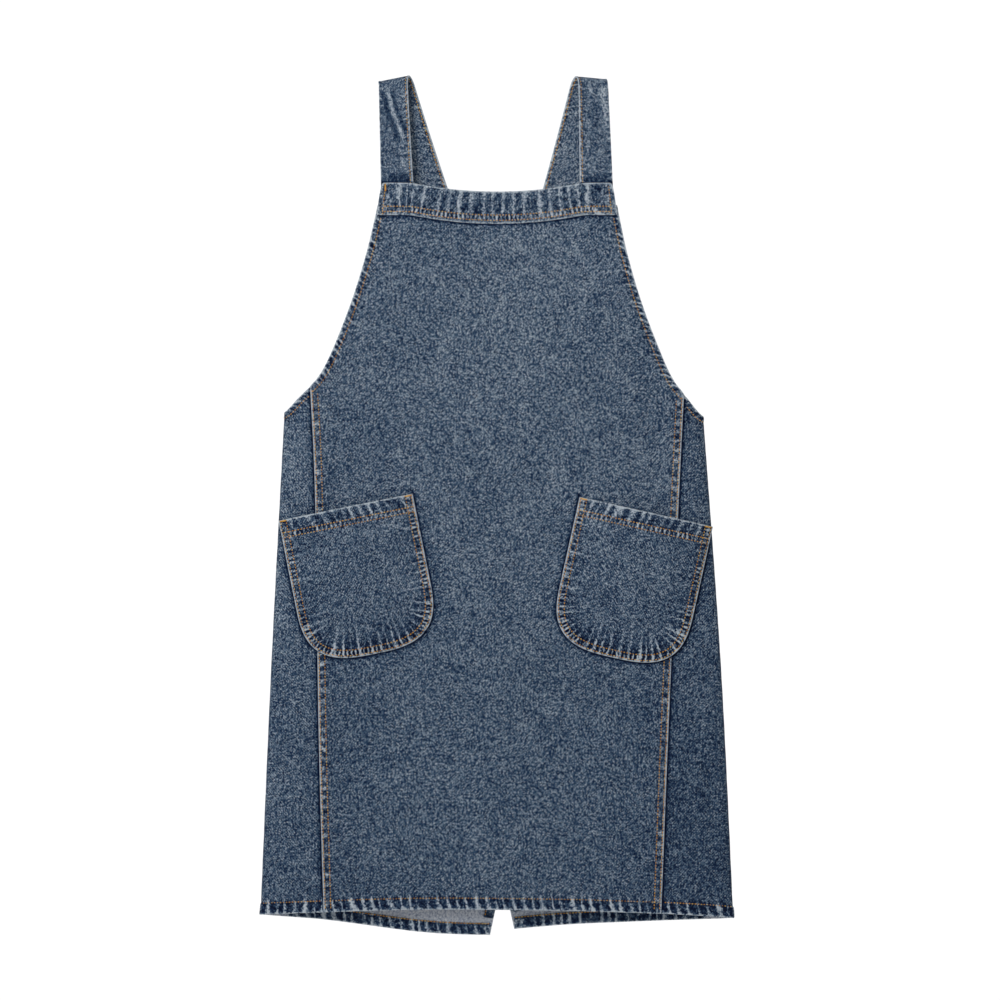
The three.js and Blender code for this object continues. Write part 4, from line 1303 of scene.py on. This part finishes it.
def make_seam(side, seed):
    """The felled seam's inner allowance and its two stitch rows."""
    name, way = side.name, -side.sign
    line = seam_line(side)
    flat = strip_flat(part_of(line, *SEAM_TURN_SPAN), SEAM_TURN, way)
    allowance = make_cloth(f"{name}_felled_seam_cloth", FRONT, flat, out=-2.0 * STEP, right_faces="inner",
                           shaped=False)
    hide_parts(f"{name}_felled_seam")
    pieces = [allowance]
    for label, inward in zip(("outer", "inner"), SEAM_ROWS):
        row = part_of(inset(line, way * inward), 2.0 + 0.6 * inward, -8.0)
        stitches = stitch_rows(f"{name}_seam_thread_{label}", FRONT, [row], seed + int(inward))
        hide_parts(f"{name}_seam_topstitch_{label}")
        pieces.append(stitches)
    return pieces


def make_side_hem(side, wrap, cut, bottom, seed):
    """The turned hem and its row, along the part of the bottom edge that shows from the front."""
    name = side.name
    hem_flat = strip_flat(bottom[bottom[:, 0] < -ARC_LENGTH * 0.55], HEM_TURN)
    hem = turned_hem(f"{name}_side_hem_cloth", cut, hem_flat, shaped=False)
    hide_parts(f"{name}_side_hem")
    seam_walk = wrap.walk_to(side.front_edge(-960.0), -960.0, -1.0)
    row = inset(bottom, BODY_ROW)
    row = row[(row[:, 0] > seam_walk + 0.5) & (row[:, 0] < ARC_LENGTH * 0.3)]
    return [hem, stitch_rows(f"{name}_side_hem_thread", cut, [row], seed)]


def inside_row(name, cut, line, seed):
    """A row of stitches as it shows on the inside of a turned hem."""
    return make_stitches(name, [seam_run(cut, line, out=-STEP - PLY, face=-1.0)], seed)


def make_back_edges(side, cut, lines, seed):
    """The back's hems and rows, as (piece, how far inside the back panel's face it lies)."""
    name = side.name
    bottom, top = (lines[edge][lines[edge][:, 0] > ARC_LENGTH * 1.05] for edge in ("bottom", "top"))
    back_hem = turned_hem(f"{name}_back_hem_cloth", cut, strip_flat(part_of(bottom, 0.0, -0.6), HEM_TURN))
    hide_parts(f"{name}_back_hem")
    row = part_of(inset(bottom, BODY_ROW), 1.0, -1.5)
    hem_row = stitch_rows(f"{name}_back_hem_thread", cut, [row], seed + 12)
    hem_inside = inside_row(f"{name}_back_hem_thread_inside", cut, row, seed + 15)
    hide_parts(f"{name}_back_hem_topstitch")
    slit, low = lines["slit"], float(bottom[-1, 1]) + HEM_CLEARANCE
    slit_part = slit[(slit[:, 1] < CENTRE_BACK_TOP) & (slit[:, 1] > low)]
    centre_flat = strip_flat(slit_part, CENTRE_BACK_TURN, -1.0)
    centre_hem = turned_hem(f"{name}_centre_back_hem_cloth", cut, centre_flat)
    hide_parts(f"{name}_centre_back_hem")
    row = part_of(inset(slit, -CENTRE_BACK_ROW), 10.0, -1.0)
    centre_row = stitch_rows(f"{name}_centre_back_thread", cut, [row], seed + 13)
    row = inset(slit_part, -CENTRE_BACK_ROW)
    centre_inside = inside_row(f"{name}_centre_back_thread_inside", cut, row, seed + 16)
    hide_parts(f"{name}_centre_back_topstitch")
    neck_flat = strip_flat(top, BACK_NECK_TURN, -1.0)
    neck_hem = turned_hem(f"{name}_back_neck_hem_cloth", cut, neck_flat, shaped=False)
    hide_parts(f"{name}_back_neck_hem")
    neck_row = stitch_rows(f"{name}_back_neck_thread", cut, [inset(top, -BACK_NECK_ROW)], seed + 14)
    pieces = [(piece, STEP) for piece in (back_hem, centre_hem, neck_hem)]
    pieces += [(piece, -0.5 * PLY) for piece in (hem_row, centre_row, neck_row)]
    return pieces + [(piece, STEP + 0.5 * PLY) for piece in (hem_inside, centre_inside)]


def make_side_pieces(side, wrap, cut, lines, seed):
    """The wrapped panel's hems and stitches: those that stay, and (piece, depth) for those on the flap."""
    still = make_armhole(side, wrap, cut, lines["top"], seed)
    still += make_seam(side, seed)
    still += make_side_hem(side, wrap, cut, lines["bottom"], seed + 11)
    return still, make_back_edges(side, cut, lines, seed)


def make_box_stitch(side, opposite_wrap, opposite_cut, seed):
    """The crossed box of stitches that holds a strap's end, on the opposite back panel."""
    low, high = (1000.0 * np.array(corner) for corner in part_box(f"{side.name}_strap_box_stitch"))
    ring = np.array([[low[0], low[2]], [high[0], low[2]], [high[0], high[2]], [low[0], high[2]]])
    paths = [np.stack([ring[k], ring[(k + 1) % 4]]) for k in range(4)]
    paths += [np.stack([ring[0], ring[2]]), np.stack([ring[1], ring[3]])]
    runs = []
    for path in paths:
        line = part_of(path, 0.6, -0.6)
        distance = opposite_wrap.side.sign * line[:, 0]
        walk = opposite_wrap.walk_to(distance, line[:, 1], 1.0)
        runs.append(seam_run(opposite_cut, pairs(walk, line[:, 1])))
    box = make_stitches(f"{side.name}_strap_box_thread", runs, seed)
    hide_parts(f"{side.name}_strap_box_stitch")
    return box


# ---- putting it together ----
front = make_front()
band, band_pieces = make_band()
hem = hem_line()
front_hem_cloth = turned_hem("front_hem_cloth", FRONT, strip_flat(part_of(hem, *FRONT_HEM_SPAN), HEM_TURN))
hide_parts("front_hem")
hem_row = part_of(inset(hem, BODY_ROW), 1.0, -1.0)
front_hem_thread = stitch_rows("front_hem_thread", FRONT, [hem_row], 61)
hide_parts("front_hem_topstitch")

wraps = {side: make_wrap(side, 100 + 50 * k) for k, side in enumerate(SIDES)}
straps = {side: make_strap(side, 200 + 50 * k) for k, side in enumerate(SIDES)}
pockets = {side: make_pocket(side, 300 + 50 * k) for k, side in enumerate(SIDES)}
root_pieces = [front, band, *band_pieces, front_hem_cloth, front_hem_thread]
for k, side in enumerate(SIDES):
    wrap, cut, cloth, lines = wraps[side]
    opposite = wraps[SIDES[1 - k]]
    still, loose = make_side_pieces(side, wrap, cut, lines, 400 + 50 * k)
    for piece, depth in [(cloth, 0.0), *loose]:
        bend(piece, side, depth)
    loose = [piece for piece, _ in loose]
    strap_cloth, strap_row = straps[side]
    box = make_box_stitch(side, opposite[0], opposite[1], 500 + k)
    pocket, pocket_pieces = pockets[side]
    root_pieces += [*still, strap_cloth, strap_row, box, pocket, *pocket_pieces]
    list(still)
    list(loose)
    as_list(pocket_pieces)
for piece in root_pieces:
    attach(piece, "root")
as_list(band_pieces)


# ---- light, floor and camera ----
def area_light(name, place, target, size, power):
    light = bpy.data.lights.new(name, "AREA")
    light.shape = "DISK"
    light.size = size
    light.energy = power
    obj = bpy.data.objects.new(name, light)
    obj.location = place
    direction = np.array(target) - np.array(place)
    obj.rotation_euler = Vector(direction).to_track_quat("-Z", "Y").to_euler()
    bpy.context.scene.collection.objects.link(obj)


MIDDLE = (0.00345, 0.0, -0.48875)  # the middle of the picture
PICTURE_WIDTH = 1.15
DISTANCE = 8.0
SENSOR = 36.0

area_light("key", (-1.3, -2.4, 0.9), MIDDLE, 1.4, 34.0)
area_light("back", (1.2, 2.4, 0.8), MIDDLE, 1.6, 24.0)

AMBIENT = 0.3  # the strength of the white all round
BACKDROP_EXTRA = 0.75  # the camera itself sees it this much brighter
world = bpy.data.worlds.new("studio")
bpy.context.scene.world = world
world.use_nodes = True
tree = world.node_tree
background = tree.nodes["Background"]
background.inputs["Color"].default_value = (1.0, 1.0, 1.0, 1.0)
light_path = tree.nodes.new("ShaderNodeLightPath")
strength = tree.nodes.new("ShaderNodeMath")
strength.operation = "MULTIPLY_ADD"
strength.inputs[1].default_value = BACKDROP_EXTRA
strength.inputs[2].default_value = AMBIENT
tree.links.new(light_path.outputs["Is Camera Ray"], strength.inputs[0])
tree.links.new(strength.outputs[0], background.inputs["Strength"])

FLOOR_DROP = 0.3
floor_shader = Shader("studio_floor")
floor_shader.feed(floor_shader.surface.inputs["Base Color"], linear(236, 236, 236))
floor_shader.feed(floor_shader.surface.inputs["Roughness"], 0.9)
FLOOR_REACH = 1600.0
floor_z = 1000.0 * (CAD_BOUNDS[0].z - FLOOR_DROP)
around = ((-1, -1), (1, -1), (1, 1), (-1, 1))
floor_corners = [[a * FLOOR_REACH, b * FLOOR_REACH, floor_z] for a, b in around]
floor = new_object("studio_floor", floor_corners, [[0, 1, 2, 3]], [floor_shader.material])

camera_data = bpy.data.cameras.new("camera")
camera_data.sensor_width = SENSOR
camera_data.lens = SENSOR * DISTANCE / PICTURE_WIDTH
camera_data.clip_end = 50.0
camera = bpy.data.objects.new("camera", camera_data)
camera.location = (MIDDLE[0], -DISTANCE, MIDDLE[2])
camera.rotation_euler = (math.pi / 2.0, 0.0, 0.0)
bpy.context.scene.collection.objects.link(camera)
bpy.context.scene.camera = camera
bpy.context.scene.view_settings.view_transform = "Standard"
